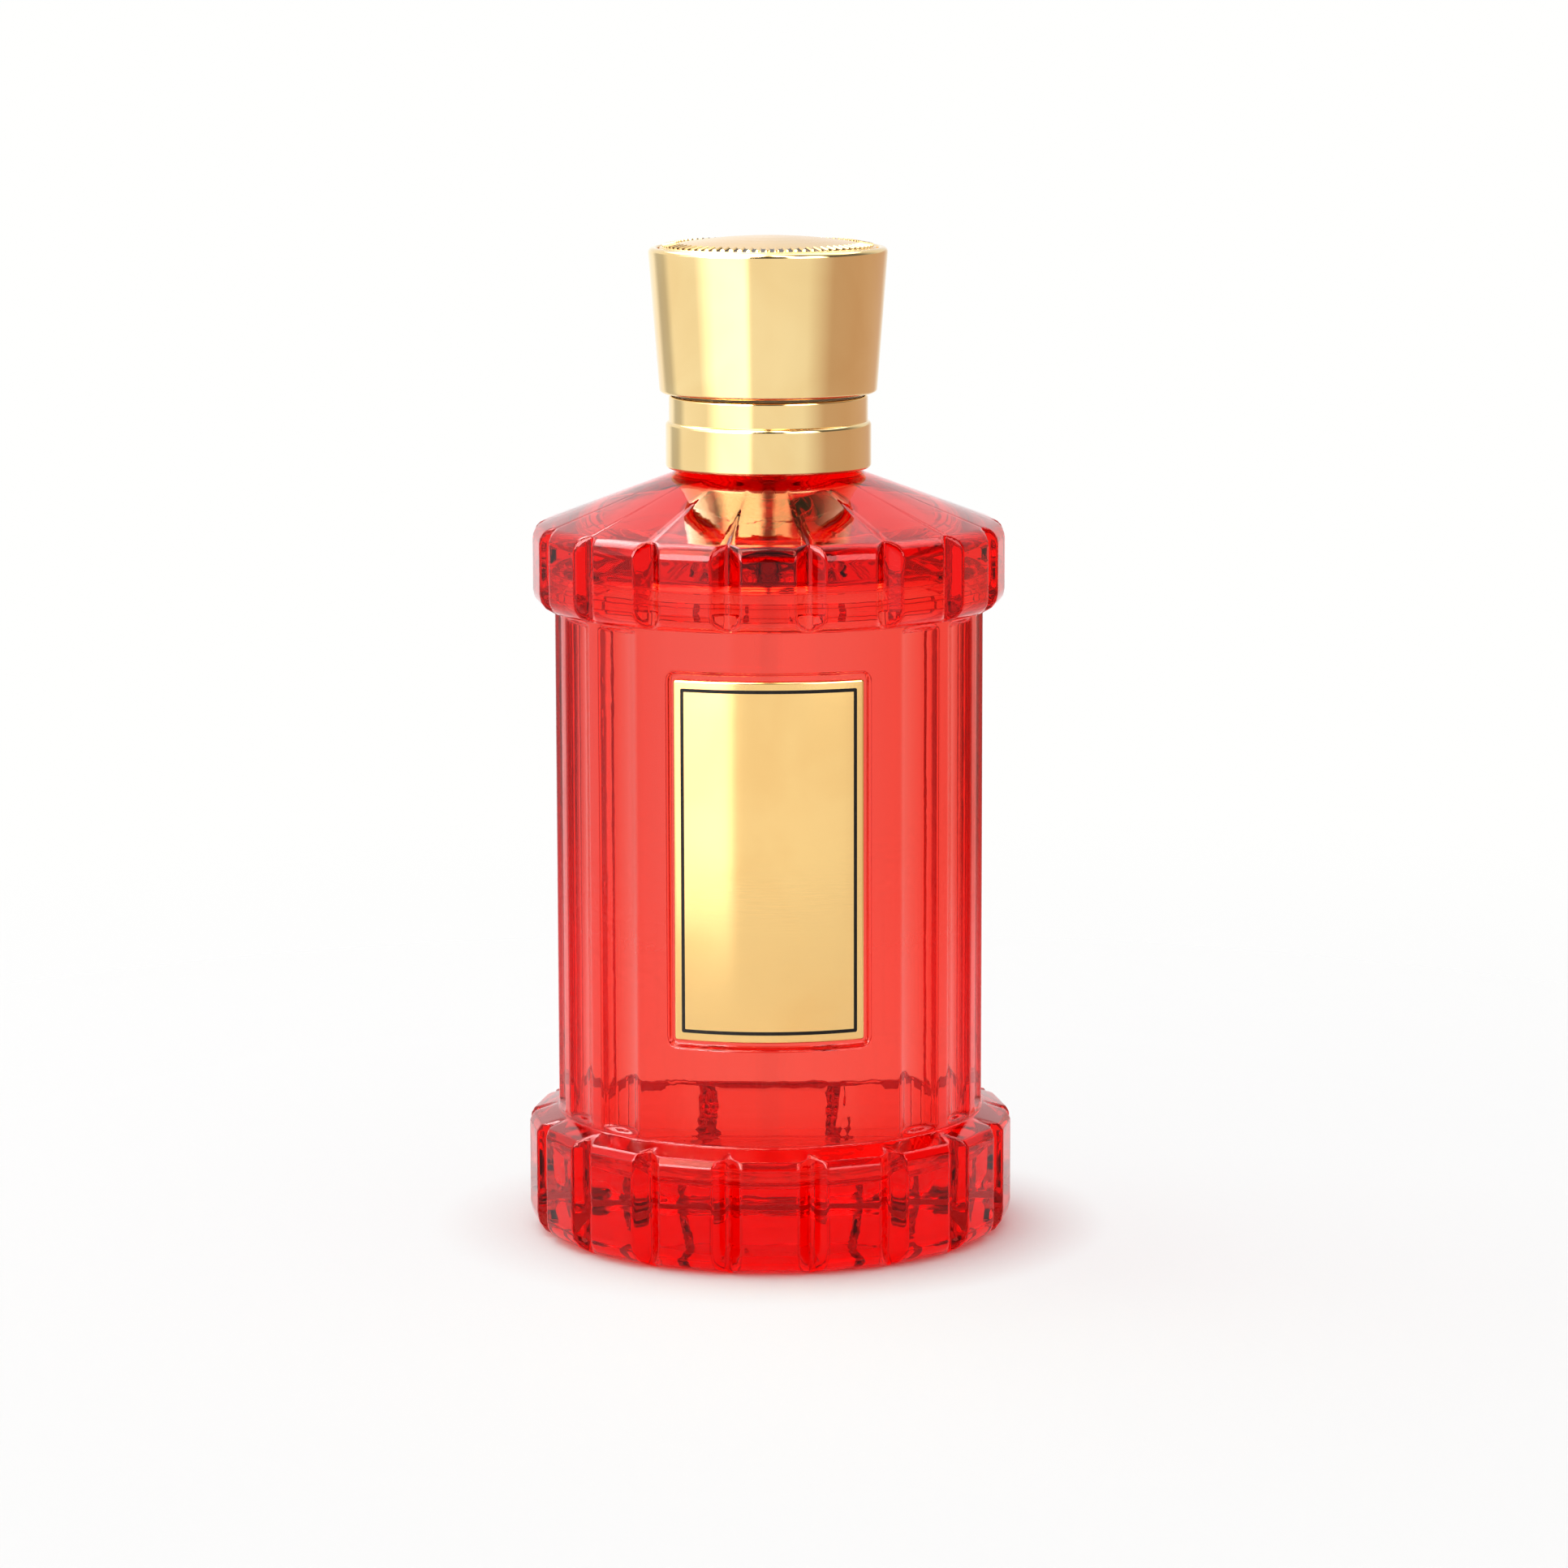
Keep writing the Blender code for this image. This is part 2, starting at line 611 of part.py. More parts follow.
def build_pump():
    """Crimped pump, from the ferrule down to the tube."""
    silver = make_material("ferrule_aluminium", (0.80, 0.80, 0.82), 0.30, metallic=1.0)
    hole = TURRET_RADIUS + SEAT_GAP
    z_crimp = z_bead - SEAT_GAP
    crimp_bore = NECK_RADIUS + SEAT_GAP
    ferrule = [
        (hole, z_plate),
        (ferrule_bore, z_plate),
        (ferrule_bore, z_crimp),
        (crimp_bore, z_crimp),
        (crimp_bore, z_crimp - FERRULE_WALL),
        (ferrule_radius, z_crimp - FERRULE_WALL),
        (ferrule_radius, z_ferrule_top),
        (hole, z_ferrule_top),
    ]
    add_piece("crimp_ferrule", turn(ferrule, MEDIUM), silver)

    rubber = make_material("seal_rubber", (0.03, 0.03, 0.03), 0.70)
    gasket_bore = HOUSING_RADIUS + SEAT_GAP
    z_gasket_top = z_gasket + GASKET_THICKNESS
    gasket = [
        (gasket_bore, z_gasket),
        (BEAD_RADIUS - SEAT_GAP, z_gasket),
        (BEAD_RADIUS - SEAT_GAP, z_gasket_top),
        (gasket_bore, z_gasket_top),
    ]
    add_piece("neck_gasket", turn(gasket, COARSE), rubber)

    cage = BALL_RADIUS + CAGE_PLAY
    cage_mouth = BALL_RADIUS - SLIDE_GAP
    housing = [
        (socket_radius, z_housing),
        (tail_radius, z_housing),
        (tail_radius, z_inlet),
        (HOUSING_RADIUS, z_cage),
        (HOUSING_RADIUS, z_flange),
        (BEAD_RADIUS - SEAT_GAP, z_flange),
        (BEAD_RADIUS - SEAT_GAP, z_flange_top),
        (HOUSING_BORE, z_flange_top),
        (HOUSING_BORE, z_seat),
        (cage_mouth, z_seat),
        (cage_mouth, z_cage),
        (cage, z_cage),
        (cage, z_inlet + cage - INLET_RADIUS),
        (INLET_RADIUS, z_inlet),
        (INLET_RADIUS, z_socket),
        (socket_radius, z_socket),
    ]
    add_piece("pump_housing", turn(housing, COARSE), clear_plastic("housing_plastic"))

    turret = [
        (slide_bore, z_spigot),
        (piston_radius, z_spigot),
        (piston_radius, z_turret),
        (BEAD_RADIUS - SEAT_GAP, z_turret),
        (BEAD_RADIUS - SEAT_GAP, z_turret + TURRET_FLANGE),
        (TURRET_RADIUS, z_turret + TURRET_FLANGE),
        (TURRET_RADIUS, z_turret_top),
        (slide_bore, z_turret_top),
    ]
    add_piece("pump_turret", turn(turret, COARSE), white_plastic("turret_plastic"))

    seal = [
        (slide_bore, z_seal),
        (piston_radius, z_seal),
        (piston_radius, z_seal + SEAL_THICKNESS),
        (slide_bore, z_seal + SEAL_THICKNESS),
    ]
    add_piece("stem_seal", turn(seal, COARSE), rubber)

    tube_bore = TUBE_RADIUS - TUBE_WALL
    tube_top = z_socket - SEAT_GAP
    tube_end = FLOOR + TUBE_END_GAP
    tube = [(tube_bore, tube_end), (TUBE_RADIUS, tube_end), (TUBE_RADIUS, tube_top), (tube_bore, tube_top)]
    add_piece("dip_tube", turn(tube, COARSE), clear_plastic("tube_plastic"))


def build_spring():
    """Coil between the housing's seat and the foot of the stem, as one unbroken wire."""
    bottom = z_seat + SEAT_GAP + SPRING_WIRE
    top = z_stem - SEAT_GAP - SPRING_WIRE
    count = round(SPRING_TURNS * POINTS_PER_TURN)
    points = []
    for index in range(count + 1):
        share = index / count
        angle = math.tau * SPRING_TURNS * share
        across = SPRING_RADIUS * math.cos(angle)
        points.append((across, SPRING_RADIUS * math.sin(angle), (top - bottom) * share))

    apart = min(
        math.dist(points[first], points[second])
        for first in range(count + 1)
        for second in range(first + POINTS_PER_TURN // 2 + 1, count + 1)
    )
    print("return_spring: least gap to itself %.2f mm" % ((apart - 2 * SPRING_WIRE) / MM))

    curve = bpy.data.curves.new("return_spring", "CURVE")
    curve.dimensions = "3D"
    curve.bevel_depth = SPRING_WIRE
    curve.bevel_resolution = 1
    curve.use_fill_caps = True
    spline = curve.splines.new("POLY")
    spline.points.add(count)
    for point, place in zip(spline.points, points):
        point.co = (*place, 1.0)
    curve.materials.append(make_material("spring_steel", (0.70, 0.71, 0.73), 0.25, metallic=1.0))
    spring = bpy.data.objects.new("return_spring", curve)
    bpy.context.scene.collection.objects.link(spring)
    seat_on(spring, bottom, None)


def build_ball():
    """Steel ball of the inlet valve, on its lifting axis."""
    lift_axis = make_axis("ball_lift_axis", z_ball)
    bm = bmesh.new()
    bmesh.ops.create_icosphere(bm, subdivisions=2, radius=BALL_RADIUS)
    bmesh.ops.translate(bm, verts=bm.verts, vec=(0.0, 0.0, z_ball))
    steel = make_material("ball_steel", (0.75, 0.76, 0.78), 0.10, metallic=1.0)
    add_piece("check_ball", bm, steel, z_ball, lift_axis)


def build_stem(press_axis):
    """Hollow stem, and the piston that it carries."""
    stem = [
        (0.0, z_stem),
        (STEM_FOOT_RADIUS, z_stem),
        (STEM_FOOT_RADIUS, z_stem + STEM_FOOT),
        (STEM_RADIUS, z_stem + STEM_FOOT),
        (STEM_RADIUS, z_stem_top),
        (STEM_BORE, z_stem_top),
        (STEM_BORE, z_stem + STEM_FOOT),
        (0.0, z_stem + STEM_FOOT),
    ]
    add_piece("pump_stem", turn(stem, COARSE), white_plastic("stem_plastic"), z_stem, press_axis)

    waist = piston_radius - PISTON_WAIST
    piston = [
        (slide_bore, z_piston),
        (piston_radius, z_piston),
        (waist, z_piston + PISTON_LIP),
        (waist, z_piston_top - PISTON_LIP),
        (piston_radius, z_piston_top),
        (slide_bore, z_piston_top),
    ]
    add_piece("piston", turn(piston, COARSE), white_plastic("piston_plastic"), z_piston, press_axis)


def build_button(press_axis):
    """Button that turns on the stem: plastic core, metal sleeve and nozzle."""
    turn_axis = make_axis("button_turn_axis", z_button, press_axis)
    socket = STEM_RADIUS + SEAT_GAP
    core = [
        (0.0, z_core_top),
        (core_radius, z_core_top),
        (core_radius, z_core),
        (CORE_HOLLOW, z_core),
        (CORE_HOLLOW, z_hollow),
        (socket, z_hollow),
        (socket, z_stem_top + SEAT_GAP),
        (0.0, z_stem_top + SEAT_GAP),
    ]
    plastic = white_plastic("button_plastic")
    button = add_piece("spray_button", turn(core, MEDIUM), plastic, z_button, turn_axis)

    inside = SLEEVE_RADIUS - SLEEVE_WALL
    crown = arc((SLEEVE_RADIUS - SLEEVE_ROUND, z_button_top - SLEEVE_ROUND), SLEEVE_ROUND, 90, 0)
    shell = [(0.0, z_button_top)] + crown
    shell += [
        (SLEEVE_RADIUS, z_button),
        (inside, z_button),
        (inside, z_button_top - SLEEVE_WALL),
        (0.0, z_button_top - SLEEVE_WALL),
    ]
    sleeve = add_piece("button_sleeve", turn(shell, MEDIUM), gold("sleeve_gold"), z_button, turn_axis)

    forward = Matrix.Translation((0.0, 0.0, z_nozzle)) @ Matrix.Rotation(math.pi / 2, 4, "X")
    back = nozzle_front - NOZZLE_LENGTH
    pocket_radius = NOZZLE_RADIUS + SEAT_GAP
    pocket = [(0.0, 0.0), (CHANNEL_RADIUS, 0.0), (CHANNEL_RADIUS, back - SEAT_GAP)]
    pocket += [(pocket_radius, back - SEAT_GAP), (pocket_radius, 2 * SLEEVE_RADIUS), (0.0, 2 * SLEEVE_RADIUS)]
    pocket_mesh = turn(pocket, COARSE)
    bmesh.ops.transform(pocket_mesh, matrix=forward, verts=pocket_mesh.verts)
    cutter = add_cutter("nozzle_pocket", pocket_mesh)
    cut(button, cutter)
    cut(sleeve, cutter)

    dish_end = nozzle_front - NOZZLE_DISH
    nozzle = [
        (0.0, back),
        (NOZZLE_RADIUS, back),
        (NOZZLE_RADIUS, nozzle_front),
        (NOZZLE_DISH, nozzle_front),
        (NOZZLE_ORIFICE, dish_end),
        (NOZZLE_ORIFICE, dish_end - NOZZLE_ORIFICE),
        (0.0, dish_end - NOZZLE_ORIFICE),
    ]
    nozzle_mesh = turn(nozzle, COARSE)
    bmesh.ops.transform(nozzle_mesh, matrix=forward, verts=nozzle_mesh.verts)
    insert = make_material("nozzle_plastic", (0.80, 0.80, 0.78), 0.30)
    add_piece("spray_nozzle", nozzle_mesh, insert, z_button, turn_axis)


def build_cap():
    """Cap that pulls off upward: metal shell, domed disc in its top and flanged plastic liner."""
    pull_axis = make_axis("cap_pull_axis", z_cap)
    taper = (CAP_RIM_RADIUS - CAP_BOTTOM_RADIUS) / CAP_HEIGHT

    def side(height):
        return CAP_BOTTOM_RADIUS + taper * (height - z_cap)

    recess = disc_radius + SEAT_GAP
    rim = arc((CAP_RIM_RADIUS - CAP_RIM_ROUND, z_rim - CAP_RIM_ROUND), CAP_RIM_ROUND, 90, 0)
    hem = arc((side(z_cap) - CAP_BOTTOM_ROUND, z_cap + CAP_BOTTOM_ROUND), CAP_BOTTOM_ROUND, 0, -90, 2)
    shell = [(0.0, z_disc - SEAT_GAP), (recess, z_disc - SEAT_GAP), (recess, z_rim)] + rim + hem
    shell += [(side(z_cap) - CAP_WALL, z_cap), (side(z_ceiling) - CAP_WALL, z_ceiling), (0.0, z_ceiling)]
    add_piece("cap_shell", turn(shell, FINE), gold("cap_gold"), z_cap, pull_axis)

    # The dome is part of a sphere that rises by DISC_DOME over the disc's radius
    sphere = (disc_radius**2 + DISC_DOME**2) / (2 * DISC_DOME)
    edge_angle = math.degrees(math.acos(disc_radius / sphere))
    dome = arc((0.0, z_rim + DISC_DOME - sphere), sphere, 90, edge_angle)
    disc = dome + [(disc_radius, z_disc), (0.0, z_disc)]
    disc[0] = (0.0, z_rim + DISC_DOME)
    add_piece("cap_top_disc", turn(disc, FINE), gold("disc_gold"), z_cap, pull_axis)

    bore = SPIGOT_RADIUS + SEAT_GAP
    sleeve = bore + LINER_WALL
    z_hem = z_cap + LINER_INSET

    def fitted(height):
        return side(height) - CAP_WALL - SEAT_GAP

    liner = [
        (bore, z_liner_top),
        (fitted(z_liner_flange), z_liner_top),
        (fitted(z_liner_flange), z_liner_flange),
        (sleeve, z_liner_flange),
        (sleeve, z_hem + LINER_WALL),
        (fitted(z_hem), z_hem + LINER_WALL),
        (fitted(z_hem), z_hem),
        (bore, z_hem),
    ]
    add_piece("cap_liner", turn(liner, MEDIUM), white_plastic("liner_plastic"), z_cap, pull_axis)


def main():
    clear_scene()
    build_bottle()
    build_collar()
    build_pump()
    build_spring()
    build_ball()
    press_axis = make_axis("button_press_axis", z_button)
    build_stem(press_axis)
    build_button(press_axis)
    build_cap()


main()
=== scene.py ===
"""Scent bottle: fine glass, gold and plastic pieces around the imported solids, and a plain studio.

The file is laid out as an add-on and run as a script. Each operator makes one piece or one group of pieces in
place, in metres, with the bottle's axis on Z and its front towards -Y.
"""

from math import asin, atan2, ceil, cos, hypot, pi, radians, sin, sqrt, tan, tau

import bmesh
import bpy
from bpy.props import FloatProperty, FloatVectorProperty, IntProperty, PointerProperty
from mathutils import Matrix, Vector


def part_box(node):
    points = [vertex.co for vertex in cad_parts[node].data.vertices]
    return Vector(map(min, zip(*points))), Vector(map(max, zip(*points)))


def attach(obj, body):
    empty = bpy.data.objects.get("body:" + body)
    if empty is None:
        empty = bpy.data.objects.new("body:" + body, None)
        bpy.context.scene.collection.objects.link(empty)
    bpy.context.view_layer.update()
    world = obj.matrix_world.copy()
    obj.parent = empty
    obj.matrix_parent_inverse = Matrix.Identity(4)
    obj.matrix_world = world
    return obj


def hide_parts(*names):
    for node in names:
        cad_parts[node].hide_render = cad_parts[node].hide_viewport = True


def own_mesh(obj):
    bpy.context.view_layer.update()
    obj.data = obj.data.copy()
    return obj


bl_info = {
    "name": "Scent bottle",
    "version": (1, 0, 0),
    "blender": (4, 5, 0),
    "location": "3D View > Sidebar > Bottle",
    "description": "Dresses a panelled glass scent bottle with its pump, collar and cap",
    "category": "Add Mesh",
}

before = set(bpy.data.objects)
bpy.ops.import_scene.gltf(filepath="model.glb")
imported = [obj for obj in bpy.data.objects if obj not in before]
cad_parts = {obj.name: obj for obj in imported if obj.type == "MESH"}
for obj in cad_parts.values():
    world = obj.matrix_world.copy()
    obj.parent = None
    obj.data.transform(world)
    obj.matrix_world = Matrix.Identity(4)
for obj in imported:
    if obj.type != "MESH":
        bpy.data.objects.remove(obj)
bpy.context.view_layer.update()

MM = 0.001
FRONT = -pi / 2
WELD = 1e-7
ROUND_STEPS = 6
GLASS_ROUND_STEPS = 4
SUPPORT = 0.25 * MM
LONG_RUN = 6 * SUPPORT
EIGHTHS = 8
FINE = 192
SMALL = 72

# Room between pieces that don't touch, and the usual rounding of an edge
GAP = 0.3 * MM
EDGE = 0.1 * MM

# Glass, outside
FOOT_ROUND = 2.9 * MM
PUNT_RADIUS = 22.0 * MM
PUNT_DEPTH = 1.4 * MM
LOWER_RING_RADIUS = 29.7 * MM
LOWER_EDGE_RUN = 0.55 * MM
LOWER_EDGE_RISE = 0.9 * MM
LOWER_EDGE_ROUND = 0.2 * MM
BODY_RADIUS = 26.2 * MM
UPPER_RING_RADIUS = 28.7 * MM
UPPER_FOOT_ROUND = 2.3 * MM
UPPER_RING_ROUND = 1.4 * MM
Z_LEDGE = 15.0 * MM
Z_RING = 77.2 * MM
Z_SHOULDER = 87.17 * MM
LEDGE_RISE = 0.9 * MM
LEDGE_FILLET = 0.2 * MM
RING_FILLET = 0.15 * MM
FLUTE_RUN_OUT = 0.8 * MM
SHOULDER_SLOPE = radians(20.6)
PLINTH_RADIUS = 11.2 * MM
PLINTH_HEIGHT = 1.45 * MM
NECK_RADIUS = 6.6 * MM
NECK_HEIGHT = 6.6 * MM
BEAD_RADIUS = 7.5 * MM
BEAD_HEIGHT = 3.0 * MM

# Softness of a groove's root, as an angle, and the limit that keeps a flank from running off beside its groove
GROOVE_ROOT = 0.004
FLANK_LIMIT = 0.2

# Glass, inside, and the filling
CAVITY_RADIUS = 20.7 * MM
FLOOR = 9.0 * MM
FLOOR_CORNER = 4.0 * MM
ROOF_THICKNESS = 7.5 * MM
ROOF_SLOPE = radians(16.0)
ROOF_CORNER = 3.0 * MM
BORE_RADIUS = 5.0 * MM
FILLING_OVERLAP = 0.12 * MM
FILLING_GAP = 0.3 * MM

# Points of the glass that lie farther out than this are on its outside
OUTSIDE = CAVITY_RADIUS + 1.0 * MM

# Label, its line and its recess
LABEL_THICKNESS = 0.5 * MM
LABEL_CORNER = 0.4 * MM
LABEL_BEVEL = 0.28 * MM
LABEL_BEVEL_STEPS = 4
LABEL_COLUMNS = 48
LINE_CORNER = 0.25 * MM
LINE_THICKNESS = 0.03 * MM
RECESS_MARGIN = 0.8 * MM
RECESS_CORNER = 1.0 * MM
RECESS_DEPTH = 0.6 * MM
RECESS_EDGE = 0.5 * MM

# Collar, its insert and the cap
TIER_HEIGHT = 5.6 * MM
TIER_STEP = 0.4 * MM
COLLAR_LIP = 0.6 * MM
INSERT_SHELF = 0.9 * MM
INSERT_LIP = 0.8 * MM
BUTTON_ROOM = 0.5 * MM
CAP_FOOT_RADIUS = 13.25 * MM
CAP_WALL = 1.0 * MM

# Ring of teeth on the cap, in from the disc's edge, and the share of a pitch that half a tooth takes
TOOTH_INNER = 1.9 * MM
TOOTH_OUTER = 0.4 * MM
TOOTH_SHARE = 0.30
TOOTH_EDGE = 1 / 6
TOOTH_SLOPE = 0.08 * MM
TOOTH_STEPS = 6
# Softness of the painted shade between the teeth, across a gap and at the ring's ends
GAP_EDGE = 0.10
GAP_END = 0.1 * MM

# What a patch in pale plastic takes off its colour
MOTTLE = 0.04

# What each surface of the glass or the filling leaves of the lamps' light
SHADE = (0.85, 0.80, 0.80)

# Bounces that light needs to find its way out of the panelled glass
BOUNCES = 40

# Floor, with the distances from the axis over which it fades out and over which its lift sets in
FLOOR_RADIUS = 1.2
FLOOR_FADE = (0.09, 0.32)
FLOOR_LIFT = (0.0285, 0.042)

KEY_SIZE = 0.7
KEY_PLACE = (-0.42, 0.28, 0.80)
KEY_AIM = (0.0, 0.0, 0.04)

# Light of the room by bearing in degrees from the camera's side, to the right: levels or colours
LOW_STRENGTH = 4.0
LOW_BANDS = (
    (-180, 0.27), (-146, 0.27), (-136, 0.15), (-122, 0.16), (-112, 0.26), (-76, 0.25), (-56, 0.51), (-23, 0.56),
    (-17, 0.25), (10, 0.25), (40, 0.24), (68, 0.152, 0.113, 0.096), (100, 0.152, 0.107, 0.087),
    (150, 0.17, 0.124, 0.107), (172, 0.25),
)
MIDDLE_STRENGTH = 30.0
MIDDLE_BANDS = (
    (-180, 0.033), (-100, 0.035), (-72, 0.12), (-58, 1.0), (-26, 1.0), (-18, 0.001), (18, 0.001), (28, 0.3),
    (50, 0.3), (62, 0.004), (105, 0.006), (140, 0.03),
)
TOP_STRENGTH = 14.0
TOP_BANDS = (
    (-180, 0.1), (-160, 0.25), (-138, 0.9), (-110, 0.6), (-80, 0.12), (-62, 1.0, 0.84, 0.66),
    (-14, 1.0, 0.84, 0.66), (-4, 0.05), (4, 0.04), (10, 0.5, 0.42, 0.33), (26, 0.5, 0.42, 0.33), (34, 0.02),
    (60, 0.02), (80, 0.04), (130, 0.25), (165, 0.12),
)
FAR_SIDE = (
    (-180, 1.0), (-95, 1.0), (-72, 0.06), (-55, 0.0), (55, 0.0), (72, 0.05), (95, 0.9), (150, 0.97),
)

# Heights of a direction over which one row of bands goes over into the next
LOW_TO_MIDDLE = (0.10, 0.22)
MIDDLE_TO_TOP = (0.60, 0.66)

Z_PLINTH_FOOT = Z_SHOULDER + (UPPER_RING_RADIUS - PLINTH_RADIUS) * tan(SHOULDER_SLOPE)
Z_PLINTH = Z_PLINTH_FOOT + PLINTH_HEIGHT
Z_NECK = Z_PLINTH + NECK_HEIGHT


def spans(node):
    """Lowest and highest height of a round solid, and its largest radius."""
    lowest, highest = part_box(node)
    return lowest.z, highest.z, highest.x


def top_radius(node):
    """Largest radius of a round solid on its highest level."""
    level = spans(node)[1] - 0.05 * MM
    return max(hypot(v.co.x, v.co.y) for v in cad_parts[node].data.vertices if v.co.z > level)


def roof_height(radius):
    """Height of the inside of the shoulder at a radius."""
    return Z_PLINTH_FOOT - ROOF_THICKNESS - (radius - BORE_RADIUS) * tan(ROOF_SLOPE)


def kind(prop, **fixed):
    """Maker of one kind of property, from a name, a description and a default."""
    return lambda name, description, default: prop(name=name, description=description, default=default, **fixed)


length = kind(FloatProperty, min=0.0, precision=5, unit="LENGTH", subtype="DISTANCE")
turn_angle = kind(FloatProperty, subtype="ANGLE")
count = kind(IntProperty, min=1)
amount = kind(FloatProperty, min=0.0)
colour = kind(FloatVectorProperty, size=3, min=0.0, max=1.0, subtype="COLOR")
place = kind(FloatVectorProperty, size=3, subtype="XYZ")


class GlassSettings(bpy.types.PropertyGroup):
    """Moulded details and colour of the glass and its filling."""

    panel_count: count("Panels", "Flat panels round each ring", 18)
    groove_width: length("Groove width", "Width of the V-groove between two panels", 3.6 * MM)
    groove_depth: length("Groove depth", "Depth of the V-groove between two panels", 1.7 * MM)
    panel_round: length("Panel edge", "Softness of the panels' upright edges", 0.25 * MM)
    flute_count: count("Flutes", "Hollow flutes on each side of the body", 6)
    flute_pitch: turn_angle("Flute pitch", "Angle from one flute to the next", radians(18.4))
    flute_angle: turn_angle("Flute width", "Angle that one flute takes up", radians(13.7))
    flute_depth: length("Flute depth", "Depth of a flute in its middle", 0.9 * MM)
    flute_round: length("Flute edge", "Softness of the flutes' edges", 0.12 * MM)
    glass_tint: colour("Glass tint", "Colour that the glass lets through", (0.989, 0.12, 0.0))
    glass_depth: amount("Glass depth", "How strongly the glass colours light, per metre", 240.0)
    filling_tint: colour("Filling tint", "Colour that the filling lets through", (0.98, 0.55, 0.45))
    filling_depth: amount("Filling depth", "How strongly the filling colours light, per metre", 6.0)


class MetalSettings(bpy.types.PropertyGroup):
    """Finish of the gold pieces and the details of the label and the cap."""

    gold: colour("Gold", "Colour of the polished metal", (0.93, 0.70, 0.33))
    deep_gold: colour("Deep gold", "Colour of the metal where it is duller", (0.88, 0.63, 0.28))
    warm_gold: colour("Warm gold", "Colour of the label and the cap's disc", (0.965, 0.64, 0.25))
    warm_deep_gold: colour("Deep warm gold", "The same where it is duller", (0.93, 0.59, 0.22))
    ink: colour("Ink", "Colour of the line round the label", (0.012, 0.010, 0.009))
    line_inset: length("Line inset", "From the label's edge in to its line", 1.0 * MM)
    line_width: length("Line width", "Width of the label's line", 0.42 * MM)
    tooth_count: count("Teeth", "Small teeth round the cap's top", 72)
    tooth_height: length("Tooth height", "How far the teeth stand up", 0.25 * MM)
    # Painted shade in the gaps between the cap's teeth
    gap_shade: colour("Gap shade", "Colour of the metal in the gaps between the teeth", (0.05, 0.026, 0.010))


class StageSettings(bpy.types.PropertyGroup):
    """Camera and studio."""

    lens: amount("Lens", "Focal length of the camera in millimetres", 121.1)
    camera_place: place("Camera", "Place of the camera", (0.0018, -0.6416, 0.1589))
    camera_pitch: turn_angle("Pitch", "How far the camera looks down", radians(9.2))
    camera_roll: turn_angle("Roll", "Turn of the camera about its view", radians(-0.13))
    key_power: amount("Key light", "Power of the soft light above, in watts", 3.5)
    sky_level: amount("Room light", "Strength of the light from all round", 0.8)
    floor_colour: colour("Floor", "Colour of the floor", (0.95, 0.94, 0.935))
    floor_lift: amount("Floor lift", "Share of plain white that the camera sees on the floor", 0.76)


def everything(bm):
    return bm.verts[:] + bm.edges[:] + bm.faces[:]


def only_verts(items):
    return [item for item in items if isinstance(item, bmesh.types.BMVert)]


def outward(bm):
    """Turns all faces outward."""
    bmesh.ops.recalc_face_normals(bm, faces=bm.faces)
    return bm


def round_off(bm, geom, offset, segments, affect):
    """Rounds corners or edges."""
    bmesh.ops.bevel(
        bm,
        geom=geom,
        offset=offset,
        offset_type="OFFSET",
        segments=segments,
        profile=0.5,
        affect=affect,
        clamp_overlap=True,
        material=-1,
    )


def outline(corners, rounds):
    """Draws (radius, height, rounding) as a line in the XZ plane and rounds its corners."""
    bm = bmesh.new()
    verts = [bm.verts.new((radius, 0.0, height)) for radius, height, _ in corners]
    for pair in zip(verts, verts[1:]):
        bm.edges.new(pair)
    if corners[0][0] > WELD:
        bm.edges.new((verts[-1], verts[0]))
    for vert, (_, _, rounding) in zip(verts, corners):
        if rounding:
            round_off(bm, [vert], rounding, rounds, "VERTICES")
    return support_ends(bm)


def support_ends(bm):
    """Puts a point close to each end of the long straight runs, so that their shading stays flat."""
    for edge in bm.edges[:]:
        run = edge.calc_length()
        if run > LONG_RUN:
            first, last = edge.verts
            rest, _ = bmesh.utils.edge_split(edge, first, SUPPORT / run)
            far = edge if last in edge.verts else rest
            bmesh.utils.edge_split(far, last, SUPPORT / (run - SUPPORT))
    return bm


def spin(bm, steps):
    """Turns an outline about Z into a closed skin: an eighth of a turn, and copies of it."""
    span = tau / EIGHTHS
    line = bm.verts[:] + bm.edges[:]
    bmesh.ops.spin(bm, geom=line, cent=(0, 0, 0), axis=(0, 0, 1), angle=span, steps=steps // EIGHTHS)
    while span < tau - WELD:
        copied = bmesh.ops.duplicate(bm, geom=everything(bm))["geom"]
        bmesh.ops.rotate(bm, cent=(0, 0, 0), matrix=Matrix.Rotation(span, 3, "Z"), verts=only_verts(copied))
        span *= 2
    bmesh.ops.remove_doubles(bm, verts=bm.verts, dist=WELD)
    return outward(bm)


def turned(corners, steps=FINE, rounds=ROUND_STEPS):
    return spin(outline(corners, rounds), steps)


def as_mesh(name, bm):
    """Turns a bmesh into a mesh and frees it."""
    mesh = bpy.data.meshes.new(name)
    bm.to_mesh(mesh)
    bm.free()
    return mesh


def add_object(name, data):
    """Adds an object at the origin."""
    item = bpy.data.objects.new(name, data)
    bpy.context.scene.collection.objects.link(item)
    return item


def add_piece(name, bm, material, body, node=None, sharp=None):
    """Makes an object of a bmesh that is drawn in place, and ties it to the frame."""
    mesh = as_mesh(name, bm)
    mesh.shade_smooth()
    if sharp:
        mesh.set_sharp_from_angle(angle=radians(sharp))
    mesh.materials.append(material)
    piece = add_object(name, mesh)
    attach(piece, body)
    if node:
        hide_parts(node)
    return piece


def add_turned(name, corners, material, body, node, steps=FINE):
    add_piece(name, turned(corners, steps), material, body, node, sharp=50)


def paint_node(node, material):
    """Gives a solid of the frame its finish."""
    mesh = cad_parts[node].data
    mesh.materials.clear()
    mesh.materials.append(material)


